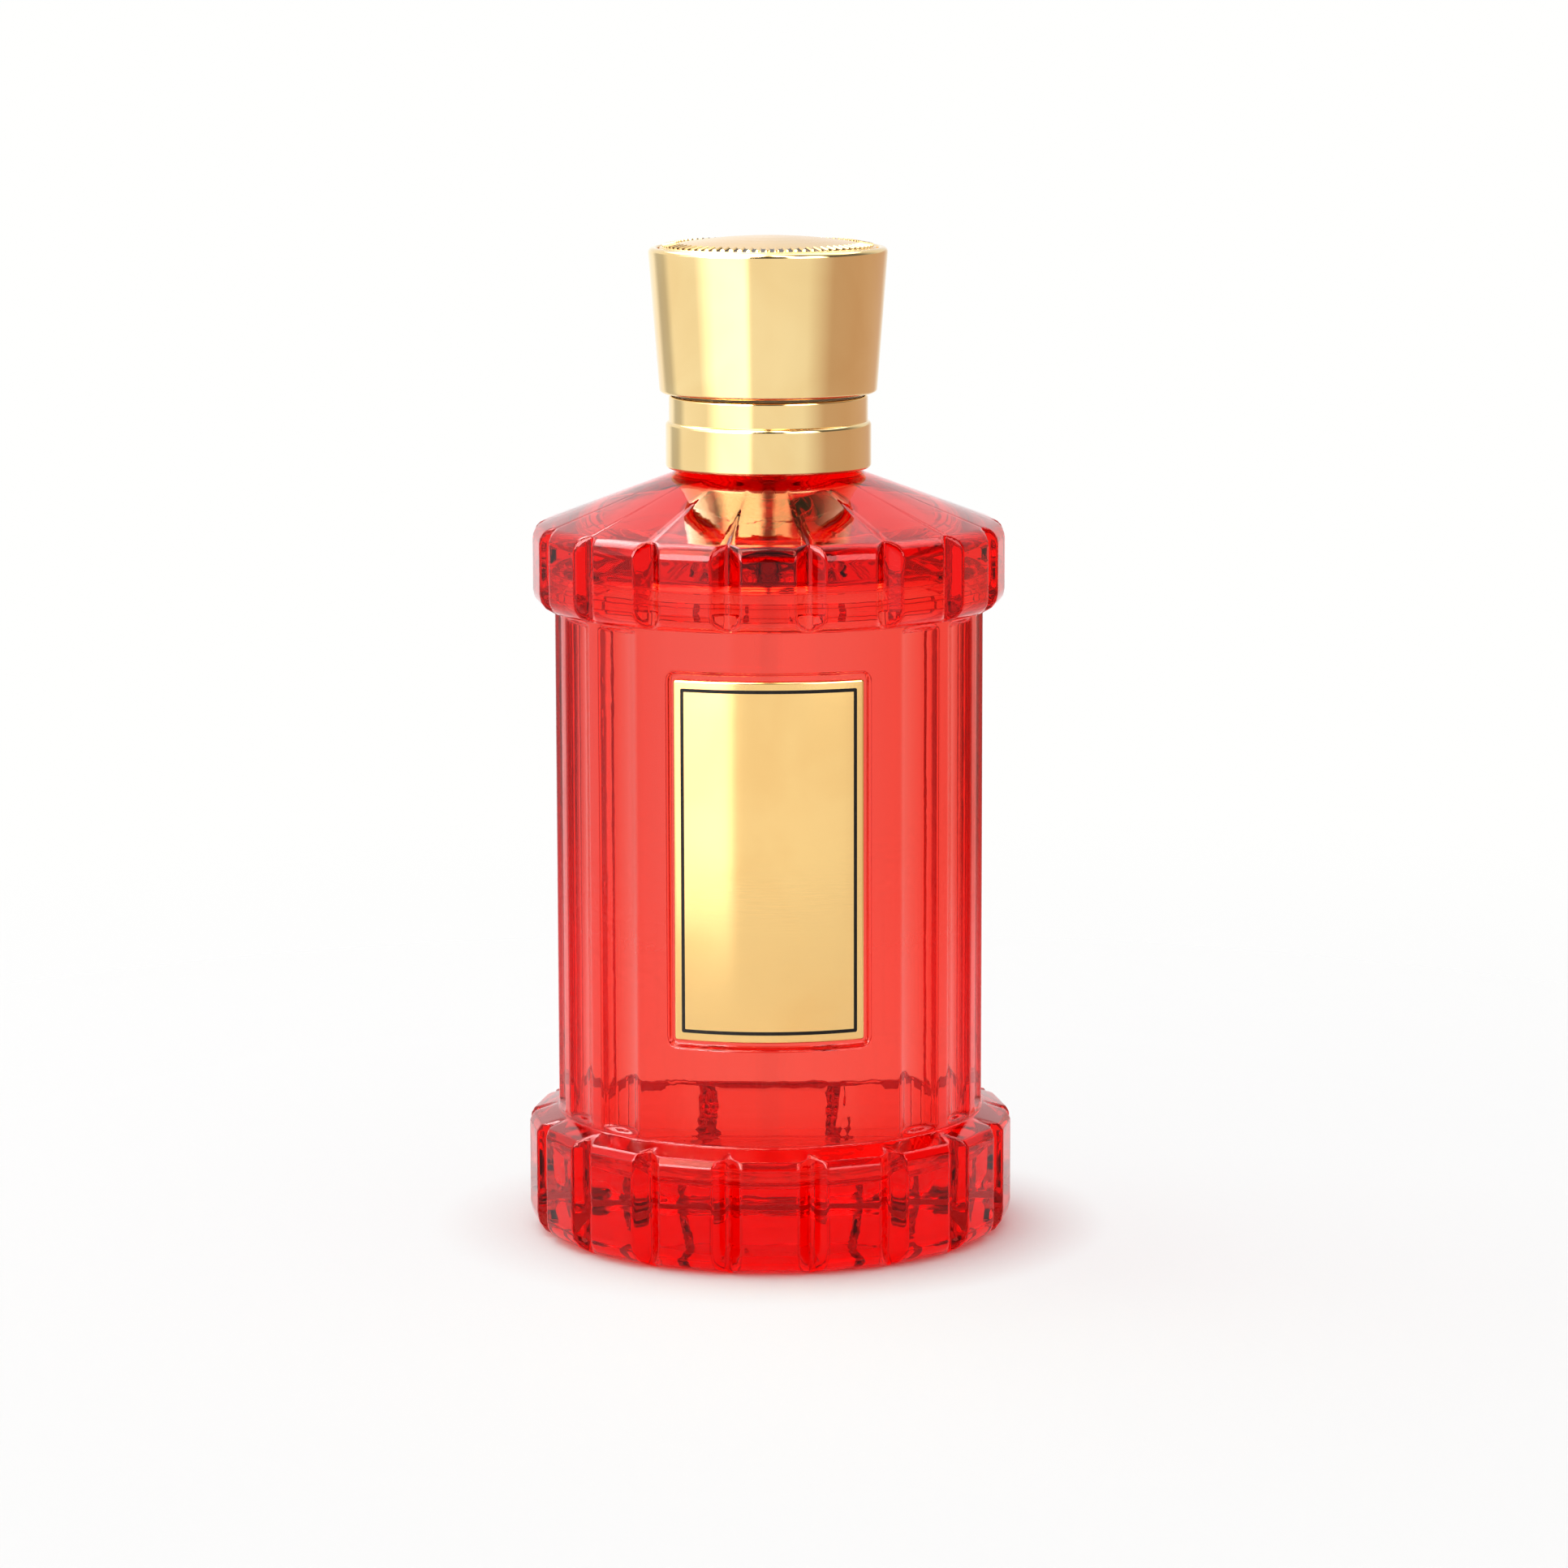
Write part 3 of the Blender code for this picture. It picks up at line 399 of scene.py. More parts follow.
def cut_mesh(bm, cutter_bm):
    """Takes one closed bmesh out of another and returns the rest."""
    items = [add_object("cut", as_mesh("cut", part)) for part in (bm, cutter_bm)]
    modifier = items[0].modifiers.new("cut", "BOOLEAN")
    modifier.operation = "DIFFERENCE"
    modifier.solver = "EXACT"
    modifier.object = items[1]
    rest = bmesh.new()
    rest.from_object(items[0], bpy.context.evaluated_depsgraph_get())
    for item in items:
        bpy.data.meshes.remove(item.data)
    bmesh.ops.remove_doubles(rest, verts=rest.verts, dist=WELD)
    return rest


def soft_min(first, second, width):
    """Lesser of two lengths, with a rounded change from one to the other."""
    blend = max(0.0, width - abs(first - second)) / width
    return min(first, second) - blend * blend * width / 4


def smooth_step(share):
    share = min(1.0, max(0.0, share))
    return share * share * (3 - 2 * share)


def wrapped(angle, period):
    """Angle from the nearest multiple of a period."""
    return angle - period * round(angle / period)


class FluteShape:
    """Hollow of one flute, which runs from the ledge up to the ring, from the settings."""

    def __init__(self, settings):
        self.half_angle = settings.flute_angle / 2
        drop = BODY_RADIUS * cos(self.half_angle) - (BODY_RADIUS - settings.flute_depth)
        half_chord = BODY_RADIUS * sin(self.half_angle)
        self.rod = (drop**2 + half_chord**2) / (2 * drop)
        self.distance = BODY_RADIUS - settings.flute_depth + self.rod
        middle = (settings.flute_count - 1) / 2
        self.centres = [
            side + settings.flute_pitch * (flute - middle)
            for side in (0.0, pi)
            for flute in range(settings.flute_count)
        ]

    def radius(self, angle):
        """Radius of the flute's surface along one ray, or nothing beside it."""
        offset = min((wrapped(angle - centre, tau) for centre in self.centres), key=abs)
        inside = self.rod**2 - (self.distance * sin(offset)) ** 2
        if inside <= 0 or abs(offset) > 2 * self.half_angle:
            return None
        return self.distance * cos(offset) - sqrt(inside)


def label_limits():
    """Half width along the curve, and the lowest and highest height, of the label's recess."""
    lowest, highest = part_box("label_plate")
    half_width = BODY_RADIUS * asin(highest.x / -lowest.y)
    return half_width + RECESS_MARGIN, lowest.z - RECESS_MARGIN, highest.z + RECESS_MARGIN


def recess_share(along, height, limits):
    """How much of the recess's depth is reached at one place: 0 outside and 1 on its floor."""
    half_width, lowest, highest = limits
    across = abs(along) - half_width + RECESS_CORNER
    up = abs(height - (lowest + highest) / 2) - (highest - lowest) / 2 + RECESS_CORNER
    away = hypot(max(across, 0), max(up, 0)) + min(max(across, up), 0) - RECESS_CORNER
    return smooth_step(0.5 - away / RECESS_EDGE)


def column_angles(settings, flutes, limits):
    """Angles of the upright lines of points: close at the grooves, flutes and recess, open between them."""
    closest = radians(0.22)
    widest = radians(1.15)
    pitch = tau / settings.panel_count
    half_groove = settings.groove_width / 2 / LOWER_RING_RADIUS
    marks = []
    for panel in range(settings.panel_count):
        centre = FRONT + pitch * (panel + 0.5)
        for share in (0.05, 0.3, 0.62, 0.84, 0.93, 1.0, 1.07, 1.18, 1.45):
            marks += [centre - half_groove * share, centre + half_groove * share]
    for centre in flutes.centres:
        for share in (0.35, 0.7, 0.9, 1.0, 1.1):
            marks += [centre - flutes.half_angle * share, centre + flutes.half_angle * share]
    half_recess = limits[0] / BODY_RADIUS
    for step in (-1.2, -0.8, -0.4, 0.0, 0.4, 0.8, 1.2):
        away = half_recess + step * RECESS_EDGE / BODY_RADIUS
        marks += [FRONT - away, FRONT + away]
    spaced = []
    for angle in sorted(mark % tau for mark in marks):
        if not spaced or angle - spaced[-1] > closest:
            spaced.append(angle)
    angles = []
    for start, end in zip(spaced, spaced[1:] + [spaced[0] + tau]):
        parts = ceil((end - start) / widest)
        angles += [start + (end - start) * part / parts for part in range(parts)]
    while len(angles) % EIGHTHS:
        following = angles[1:] + [angles[0] + tau]
        gaps = [after - before for before, after in zip(angles, following)]
        gap, column = max((gap, index) for index, gap in enumerate(gaps))
        angles.insert(column + 1, angles[column] + gap / 2)
    return angles


def body_rows(limits):
    """Heights of the points up the body: close at the flutes' ends and at the recess's edges."""
    rows = []
    for share in (0.2, 0.4, 0.6, 0.8, 1.0, 1.4):
        rows += [Z_LEDGE + LEDGE_FILLET + share * FLUTE_RUN_OUT, Z_RING - RING_FILLET - share * FLUTE_RUN_OUT]
    for edge in limits[1:]:
        for step in (-2.2, -1.4, -0.8, -0.4, 0.0, 0.4, 0.8, 1.4, 2.2):
            rows.append(edge + step * RECESS_EDGE)
    for step in range(1, 4):
        rows.append(limits[1] + (limits[2] - limits[1]) * step / 4)
    return sorted(rows)


def glass_skin(settings):
    """Turned skin of the glass, with panels, grooves, flutes and the recess pressed into its outside."""
    flutes = FluteShape(settings)
    limits = label_limits()
    angles = column_angles(settings, flutes, limits)
    corners = [
        (0.0, PUNT_DEPTH, 0),
        (PUNT_RADIUS / 2, PUNT_DEPTH * 0.75, 4.0 * MM),
        (PUNT_RADIUS, 0.0, 0.8 * MM),
        (LOWER_RING_RADIUS, 0.0, FOOT_ROUND),
        (LOWER_RING_RADIUS, Z_LEDGE - LEDGE_RISE - LOWER_EDGE_RISE, LOWER_EDGE_ROUND),
        (LOWER_RING_RADIUS - LOWER_EDGE_RUN, Z_LEDGE - LEDGE_RISE, LOWER_EDGE_ROUND),
        (BODY_RADIUS, Z_LEDGE, LEDGE_FILLET),
        *((BODY_RADIUS, height, 0) for height in body_rows(limits)),
        (BODY_RADIUS, Z_RING, RING_FILLET),
        (UPPER_RING_RADIUS, Z_RING, UPPER_FOOT_ROUND),
        (UPPER_RING_RADIUS, Z_SHOULDER, UPPER_RING_ROUND),
        (PLINTH_RADIUS, Z_PLINTH_FOOT, 0.8 * MM),
        (PLINTH_RADIUS, Z_PLINTH, 0.35 * MM),
        (NECK_RADIUS, Z_PLINTH, 0.4 * MM),
        (NECK_RADIUS, Z_NECK - BEAD_HEIGHT, 0.3 * MM),
        (BEAD_RADIUS, Z_NECK - BEAD_HEIGHT, 0.6 * MM),
        (BEAD_RADIUS, Z_NECK, 0.8 * MM),
        (BORE_RADIUS, Z_NECK, 0.5 * MM),
        (BORE_RADIUS, roof_height(BORE_RADIUS), 1.5 * MM),
        (CAVITY_RADIUS, roof_height(CAVITY_RADIUS), ROOF_CORNER),
        (CAVITY_RADIUS, FLOOR, FLOOR_CORNER),
        (0.0, FLOOR, 0),
    ]
    bm = turned(corners, len(angles), GLASS_ROUND_STEPS)
    press_skin(bm, settings, flutes, limits, angles)
    return outward(bm)


def press_skin(bm, settings, flutes, limits, angles):
    """Moves the points of the turned glass to their own angles, and in or out along their radius."""
    pitch = tau / settings.panel_count
    step = tau / len(angles)
    half_groove = settings.groove_width / 2
    spread = half_groove / settings.groove_depth
    z_middle = (Z_LEDGE + Z_RING) / 2
    for vert in bm.verts:
        radius = hypot(vert.co.x, vert.co.y)
        if radius < WELD:
            continue
        column = round((atan2(vert.co.y, vert.co.x) % tau) / step) % len(angles)
        angle = angles[column]
        height = vert.co.z
        if radius > OUTSIDE and Z_LEDGE < height < Z_RING:
            hollow = flutes.radius(angle)
            if hollow is not None:
                ended = min(height - Z_LEDGE - LEDGE_FILLET, Z_RING - RING_FILLET - height)
                pressed = soft_min(radius, hollow, settings.flute_round)
                radius += (pressed - radius) * smooth_step(ended / FLUTE_RUN_OUT)
            along = wrapped(angle - FRONT, tau) * BODY_RADIUS
            radius -= RECESS_DEPTH * recess_share(along, height, limits)
        elif radius > OUTSIDE:
            apothem = LOWER_RING_RADIUS if height < z_middle else UPPER_RING_RADIUS
            offset = wrapped(angle - FRONT, pitch)
            flatness = smooth_step((radius - BODY_RADIUS) / (apothem - BODY_RADIUS))
            radius *= 1 - flatness + flatness / cos(offset)
            half_panel = apothem * tan(pitch / 2) - half_groove
            edge = hypot(apothem, half_panel) * cos(half_groove / apothem)
            root = edge - settings.groove_depth
            aside = hypot(pitch / 2 - abs(offset), GROOVE_ROOT)
            flank = spread * root / max(FLANK_LIMIT, spread * cos(aside) - sin(aside))
            radius = soft_min(radius, flank, settings.panel_round)
        vert.co.x = radius * cos(angle)
        vert.co.y = radius * sin(angle)


def filling_skin():
    """Filling to just under the shoulder, a hair into the glass so that the two surfaces read as one."""
    wall = CAVITY_RADIUS + FILLING_OVERLAP
    bottom = FLOOR - FILLING_OVERLAP
    level = roof_height(CAVITY_RADIUS) - FILLING_GAP
    return turned([(0.0, bottom, 0), (wall, bottom, FLOOR_CORNER), (wall, level, 0.3 * MM), (0.0, level, 0)])


def flat_plate(half_width, half_height, corner):
    """Sheet in the XY plane with rounded corners."""
    bm = bmesh.new()
    bmesh.ops.create_grid(bm, x_segments=1, y_segments=1, size=1.0)
    bmesh.ops.scale(bm, vec=(half_width, half_height, 1.0), verts=bm.verts)
    round_off(bm, bm.verts[:], corner, ROUND_STEPS, "VERTICES")
    return bm


def slice_columns(bm, half_width):
    """Cuts a flat sheet along upright lines, so that it can be bent."""
    for step in range(1, LABEL_COLUMNS):
        middle = (-half_width + 2 * half_width * step / LABEL_COLUMNS, 0.0, 0.0)
        bmesh.ops.bisect_plane(bm, geom=everything(bm), dist=WELD, plane_co=middle, plane_no=(1, 0, 0))


def thicken(bm, thickness):
    """Draws a flat sheet out along Z into a closed plate."""
    grown = bmesh.ops.extrude_face_region(bm, geom=bm.faces[:], use_keep_orig=True)["geom"]
    bmesh.ops.translate(bm, verts=only_verts(grown), vec=(0.0, 0.0, thickness))
    outward(bm)


def bend_round_front(bm, radius, middle):
    """Bends a flat plate round the bottle's front, with its back at a radius."""
    for vert in bm.verts:
        angle = FRONT + vert.co.x / BODY_RADIUS
        out = radius + vert.co.z
        vert.co = (out * cos(angle), out * sin(angle), middle + vert.co.y)
    outward(bm)


def toothed_disc(settings, radius, bottom, edge, crown, inner, outer):
    """Domed disc with a ring of small radial teeth near its edge."""
    rise = crown - edge
    sphere = (radius**2 + rise**2) / (2 * rise)
    stops = [radius * share for share in (0.25, 0.45, 0.62, 0.75, 0.85)]
    stops += [inner - TOOTH_SLOPE, inner, (inner + outer) / 2, outer, outer + TOOTH_SLOPE]
    corners = [
        (0.0, crown, 0),
        *((stop, crown - sphere + sqrt(sphere**2 - stop**2), 0) for stop in stops),
        (radius, edge, 0.2 * MM),
        (radius, bottom, EDGE),
        (0.0, bottom, 0),
    ]
    bm = turned(corners, settings.tooth_count * TOOTH_STEPS)
    pitch = tau / settings.tooth_count
    for vert in bm.verts:
        distance = hypot(vert.co.x, vert.co.y)
        if vert.co.z > edge - 0.1 * MM and inner - WELD < distance < outer + WELD:
            beside = abs(wrapped(atan2(vert.co.y, vert.co.x) - FRONT, pitch)) / pitch
            vert.co.z += settings.tooth_height * smooth_step((TOOTH_SHARE - beside) / TOOTH_EDGE)
    return bm


def feed(tree, node, inputs):
    """Links or sets the inputs of a node."""
    for key, value in inputs.items():
        socket = node.inputs[key]
        if isinstance(value, bpy.types.NodeSocket):
            tree.links.new(value, socket)
        else:
            socket.default_value = (*value, 1.0) if socket.type == "RGBA" else value


def add_node(tree, kind, inputs, output=0, **options):
    """Adds a shader node with options and inputs, and returns one of its outputs."""
    node = tree.nodes.new("ShaderNode" + kind)
    for name, value in options.items():
        setattr(node, name, value)
    feed(tree, node, inputs)
    return node.outputs[output]


def calc(tree, operation, *values):
    return add_node(tree, "Math", dict(enumerate(values)), operation=operation)


def ranged(tree, value, start, end, interpolation="LINEAR"):
    """Maps a value from a range to 0..1."""
    inputs = {"Value": value, "From Min": start, "From Max": end}
    return add_node(tree, "MapRange", inputs, interpolation_type=interpolation)


def between(tree, value, lowest, highest):
    """Maps a value from 0..1 to a range."""
    return add_node(tree, "MapRange", {"Value": value, "To Min": lowest, "To Max": highest})


def mixed(tree, value, first, second):
    """Mixes two colours by a value."""
    return add_node(tree, "Mix", {0: value, 6: first, 7: second}, 2, data_type="RGBA")


def blended(tree, value, first, second):
    """Mixes two shaders by a value."""
    return add_node(tree, "MixShader", {0: value, 1: first, 2: second})


def relief(tree, height, depth):
    """Normal of a surface with a height on it."""
    return add_node(tree, "Bump", {"Strength": 1.0, "Distance": depth, "Height": height})


def polar(tree, vector):
    """Distance from the axis, angle round it and height of a place."""
    x, y, z = add_node(tree, "SeparateXYZ", {0: vector}).node.outputs
    flat = add_node(tree, "CombineXYZ", {0: x, 1: y})
    distance = add_node(tree, "VectorMath", {0: flat}, "Value", operation="LENGTH")
    return distance, calc(tree, "ARCTAN2", y, x), z


def new_group(name, numbers, result):
    """Node group that takes a place and some numbers, and gives one number."""
    group = bpy.data.node_groups.new(name, "ShaderNodeTree")
    group.interface.new_socket("Vector", in_out="INPUT", socket_type="NodeSocketVector")
    for number in numbers:
        group.interface.new_socket(number, in_out="INPUT", socket_type="NodeSocketFloat")
    group.interface.new_socket(result, in_out="OUTPUT", socket_type="NodeSocketFloat")
    return group, group.nodes.new("NodeGroupInput").outputs, group.nodes.new("NodeGroupOutput")


def grain_group():
    """Fine lines that run round the axis, as left by turning and brushing: a value round 0.5."""
    if "turned_grain" in bpy.data.node_groups:
        return bpy.data.node_groups["turned_grain"]
    group, given, end = new_group("turned_grain", ("Lines", "Streak"), "Grain")
    factors = (given["Lines"], given["Streak"], given["Lines"])
    scaled = [
        calc(group, "MULTIPLY", value, factor) for value, factor in zip(polar(group, given["Vector"]), factors)
    ]
    joined = add_node(group, "CombineXYZ", dict(enumerate(scaled)))
    noise = add_node(group, "TexNoise", {"Vector": joined, "Scale": 1.0, "Detail": 2.0})
    feed(group, end, {"Grain": noise})
    return group


def smudge_group():
    """Soft uneven patches, as handling and moulding leave them: a value from 0 to 1."""
    if "soft_patches" in bpy.data.node_groups:
        return bpy.data.node_groups["soft_patches"]
    group, given, end = new_group("soft_patches", ("Scale",), "Patches")
    inputs = {"Vector": given["Vector"], "Scale": given["Scale"], "Detail": 3.0, "Distortion": 0.6}
    noise = add_node(group, "TexNoise", inputs)
    feed(group, end, {"Patches": ranged(group, noise, 0.35, 0.68, "SMOOTHSTEP")})
    return group


def own_place(tree):
    """The piece's own coordinates."""
    return add_node(tree, "TexCoord", {}, "Object")


def effect(tree, group, **values):
    """Puts a group into a material, on the piece's own coordinates."""
    return add_node(tree, "Group", {"Vector": own_place(tree), **values}, node_tree=group)


def new_material(name):
    """Node material with a Principled shader."""
    material = bpy.data.materials.new(name)
    material.use_nodes = True
    return material, material.node_tree, material.node_tree.nodes["Principled BSDF"]


def metal(name, bright, dull, roughness, lines, depth):
    """Metal with turned lines in its gloss and soft patches in its colour."""
    material, tree, shader = new_material(name)
    grain = effect(tree, grain_group(), Lines=lines, Streak=9.0)
    patches = effect(tree, smudge_group(), Scale=70.0)
    inputs = {
        "Metallic": 1.0,
        "Base Color": mixed(tree, patches, bright, dull),
        "Roughness": between(tree, grain, *roughness),
        "Normal": relief(tree, grain, depth),
    }
    feed(tree, shader, inputs)
    return material


def gold_finish(context, name):
    settings = context.scene.bottle_metal
    return metal(name, settings.gold, settings.deep_gold, (0.06, 0.13), lines=9000.0, depth=0.0015 * MM)


def plastic(name, light, dark, roughness):
    """Moulded plastic with a faint mottle and a fine texture."""
    material, tree, shader = new_material(name)
    patches = effect(tree, smudge_group(), Scale=220.0)
    speckle = effect(tree, smudge_group(), Scale=2600.0)
    inputs = {
        "IOR": 1.49,
        "Base Color": mixed(tree, patches, light, dark),
        "Roughness": between(tree, speckle, roughness, roughness + 0.12),
        "Normal": relief(tree, speckle, 0.01 * MM),
    }
    feed(tree, shader, inputs)
    return material


def pale_plastic(name, light, roughness):
    return plastic(name, light, [part - MOTTLE for part in light], roughness)


def clear_medium(name, index, tint, depth, sheen, wave=0.0):
    """Clear glass or liquid that colours light by the way through it, and lets the lamps' light pass."""
    material, tree, shader = new_material(name)
    inputs = {
        "Base Color": (1.0, 1.0, 1.0),
        "Roughness": 0.0,
        "IOR": index,
        "Transmission Weight": 1.0,
        "Specular Tint": sheen,
    }
    if wave:
        inputs["Normal"] = relief(tree, effect(tree, smudge_group(), Scale=90.0), wave)
    feed(tree, shader, inputs)
    shadow = add_node(tree, "LightPath", {}, "Is Shadow Ray")
    passing = add_node(tree, "BsdfTransparent", {"Color": SHADE})
    inputs = {
        "Surface": blended(tree, shadow, shader.outputs[0], passing),
        "Volume": add_node(tree, "VolumeAbsorption", {"Color": tint, "Density": depth}),
    }
    feed(tree, tree.nodes["Material Output"], inputs)
    return material


def thin_clear(name, shown):
    """Clear plastic in the filling: nearly all light goes straight on, the rest meets a milky skin."""
    material, tree, shader = new_material(name)
    patches = effect(tree, smudge_group(), Scale=300.0)
    inputs = {
        "Base Color": (0.90, 0.88, 0.86),
        "IOR": 1.45,
        "Roughness": between(tree, patches, 0.15, 0.3),
        "Alpha": between(tree, patches, 0.7 * shown, shown),
    }
    feed(tree, shader, inputs)
    return material


def paint_gap_shade(material, inner, outer, teeth, gap_shade):
    """Darkens a round metal piece between the teeth of a ring with painted shade."""
    tree = material.node_tree
    shader = tree.nodes["Principled BSDF"]
    distance, angle, _ = polar(tree, own_place(tree))
    turns = calc(tree, "MULTIPLY_ADD", angle, teeth / tau, teeth / 4)
    beside = calc(tree, "PINGPONG", turns, 0.5)
    gap = ranged(tree, beside, TOOTH_SHARE - GAP_EDGE, TOOTH_SHARE)
    gap = calc(tree, "MULTIPLY", gap, ranged(tree, distance, inner - GAP_END, inner))
    gap = calc(tree, "MULTIPLY", gap, ranged(tree, distance, outer + GAP_END, outer))
    unshaded = shader.inputs["Base Color"].links[0].from_socket
    feed(tree, shader, {"Base Color": mixed(tree, gap, unshaded, gap_shade)})


class BOTTLE_OT_glass(bpy.types.Operator):
    """Make the moulded glass and its filling"""

    bl_idname = "bottle.glass"
    bl_label = "Glass and filling"

    def execute(self, context):
        settings = context.scene.bottle_glass
        tint, depth = settings.glass_tint, settings.glass_depth
        glass = clear_medium("ruby_glass", 1.5, tint, depth, (0.6, 0.3, 0.3), 0.02 * MM)
        add_piece("moulded_glass", glass_skin(settings), glass, "bottle", "glass_bottle")
        tint, depth = settings.filling_tint, settings.filling_depth
        scent = clear_medium("scent", 1.36, tint, depth, (0.0, 0.0, 0.0))
        add_piece("filling", filling_skin(), scent, "bottle", "perfume_liquid")
        return {"FINISHED"}


class BOTTLE_OT_label(bpy.types.Operator):
    """Make the label plate and the line round it"""

    bl_idname = "bottle.label"
    bl_label = "Label"

    def execute(self, context):
        settings = context.scene.bottle_metal
        half_recess, lowest, highest = label_limits()
        half_width = half_recess - RECESS_MARGIN
        half_height = (highest - lowest) / 2 - RECESS_MARGIN
        middle = (highest + lowest) / 2
        back = BODY_RADIUS - RECESS_DEPTH + GAP

        plate = flat_plate(half_width, half_height, LABEL_CORNER)
        slice_columns(plate, half_width)
        thicken(plate, LABEL_THICKNESS)
        rim = [
            edge
            for edge in plate.edges
            if all(vert.co.z > LABEL_THICKNESS / 2 for vert in edge.verts)
            and any(abs(face.normal.z) < 0.5 for face in edge.link_faces)
        ]
        round_off(plate, rim, LABEL_BEVEL, LABEL_BEVEL_STEPS, "EDGES")
        bend_round_front(plate, back, middle)
        bright, dull = settings.warm_gold, settings.warm_deep_gold
        finish = metal("label_gold_finish", bright, dull, (0.09, 0.17), lines=14000.0, depth=0.0008 * MM)
        add_piece("label", plate, finish, "bottle", "label_plate", sharp=40)

        half_width -= settings.line_inset
        half_height -= settings.line_inset
        line = flat_plate(half_width, half_height, LINE_CORNER)
        ring = bmesh.ops.inset_region(
            line, faces=line.faces[:], thickness=settings.line_width, use_even_offset=True, use_boundary=True
        )
        inside = [face for face in line.faces if face not in ring["faces"]]
        bmesh.ops.delete(line, geom=inside, context="FACES")
        slice_columns(line, half_width)
        thicken(line, LINE_THICKNESS)
        bend_round_front(line, back + LABEL_THICKNESS - LINE_THICKNESS / 2, middle)
        ink = plastic("label_ink", settings.ink, [0.6 * part for part in settings.ink], 0.45)
        ink.node_tree.nodes["Principled BSDF"].inputs["Specular IOR Level"].default_value = 0.12
        add_piece("label_line", line, ink, "bottle", sharp=40)
        return {"FINISHED"}


class BOTTLE_OT_collar(bpy.types.Operator):
    """Make the gold collar and the plastic insert in it"""

    bl_idname = "bottle.collar"
    bl_label = "Collar"

    def execute(self, context):
        foot, top, ring = spans("neck_collar")
        band = ring - TIER_STEP
        bore = PLINTH_RADIUS + GAP
        tier = foot + TIER_HEIGHT
        lip = top - COLLAR_LIP
        spigot = top_radius("collar_insert")
        shell = [
            (bore, foot, 0.2 * MM), (ring, foot, 0.45 * MM),
            (ring, tier, 0.5 * MM), (band, tier + 0.12 * MM, EDGE),
            (band, top, 0.4 * MM), (spigot + GAP, top, 0.15 * MM),
            (spigot + GAP, lip, EDGE), (bore, lip, EDGE),
        ]
        gold = gold_finish(context, "collar_gold_finish")
        add_turned("collar", shell, gold, "bottle", "neck_collar")

        base, crest, outside = spans("collar_insert")
        ferrule = spans("crimp_ferrule")[2] + GAP
        mouth = spans("button_sleeve")[2] + BUTTON_ROOM
        shelf = top - INSERT_SHELF
        insert = [
            (ferrule, base, EDGE), (outside, base, 0.2 * MM),
            (outside, shelf, EDGE), (spigot, shelf, EDGE),
            (spigot, crest, 0.35 * MM), (mouth, crest, 0.25 * MM),
            (mouth, crest - INSERT_LIP, EDGE), (ferrule, crest - INSERT_LIP, EDGE),
        ]
        white = pale_plastic("insert_plastic_finish", (0.84, 0.83, 0.80), 0.32)
        add_turned("insert", insert, white, "bottle", "collar_insert")
        return {"FINISHED"}


class BOTTLE_OT_cap(bpy.types.Operator):
    """Make the cap: gold shell, toothed top disc and plastic liner"""

    bl_idname = "bottle.cap"
    bl_label = "Cap"

    def execute(self, context):
        settings = context.scene.bottle_metal
        foot, rim, widest = spans("cap_shell")
        disc_low, disc_high, disc = spans("cap_top_disc")
        seat = disc_low - GAP
        ceiling = seat - CAP_WALL
        taper = (widest - CAP_FOOT_RADIUS) / (rim - foot)

        def inside(height):
            """Radius of the shell's inside at a height."""
            return CAP_FOOT_RADIUS + taper * (height - foot) - CAP_WALL

        shell = [
            (0.0, seat, 0), (disc + GAP, seat, EDGE),
            (disc + GAP, rim, 0.25 * MM), (widest, rim, 0.7 * MM),
            (CAP_FOOT_RADIUS, foot, 0.4 * MM), (inside(foot), foot, 0.2 * MM),
            (inside(ceiling), ceiling, 0.6 * MM), (0.0, ceiling, 0),
        ]
        gold = gold_finish(context, "cap_gold_finish")
        add_turned("cap", shell, gold, "cap", "cap_shell")

        bright, dull = settings.warm_gold, settings.warm_deep_gold
        finish = metal("disc_gold_with_gap_shade", bright, dull, (0.12, 0.26), lines=7000.0, depth=0.002 * MM)
        teeth = disc - TOOTH_INNER, disc - TOOTH_OUTER
        # Painted shade darkens the disc between its teeth
        paint_gap_shade(finish, *teeth, settings.tooth_count, settings.gap_shade)
        bm = toothed_disc(settings, disc, disc_low, rim, disc_high, *teeth)
        add_piece("cap_disc", bm, finish, "cap", "cap_top_disc", sharp=40)

        hem, top, _ = spans("cap_liner")
        bore = top_radius("collar_insert") + GAP
        sleeve = bore + CAP_WALL
        lower = inside(hem) - GAP
        upper = inside(top - CAP_WALL) - GAP
        liner = [
            (bore, hem, 0.3 * MM), (lower, hem, 0.15 * MM),
            (lower, hem + CAP_WALL, 0.15 * MM), (sleeve, hem + CAP_WALL, 0.2 * MM),
            (sleeve, top - CAP_WALL, 0.2 * MM), (upper, top - CAP_WALL, 0.15 * MM),
            (upper, top, 0.15 * MM), (bore, top, 0.2 * MM),
        ]
        white = pale_plastic("liner_plastic_finish", (0.82, 0.81, 0.78), 0.36)
        add_turned("liner", liner, white, "cap", "cap_liner")
        return {"FINISHED"}


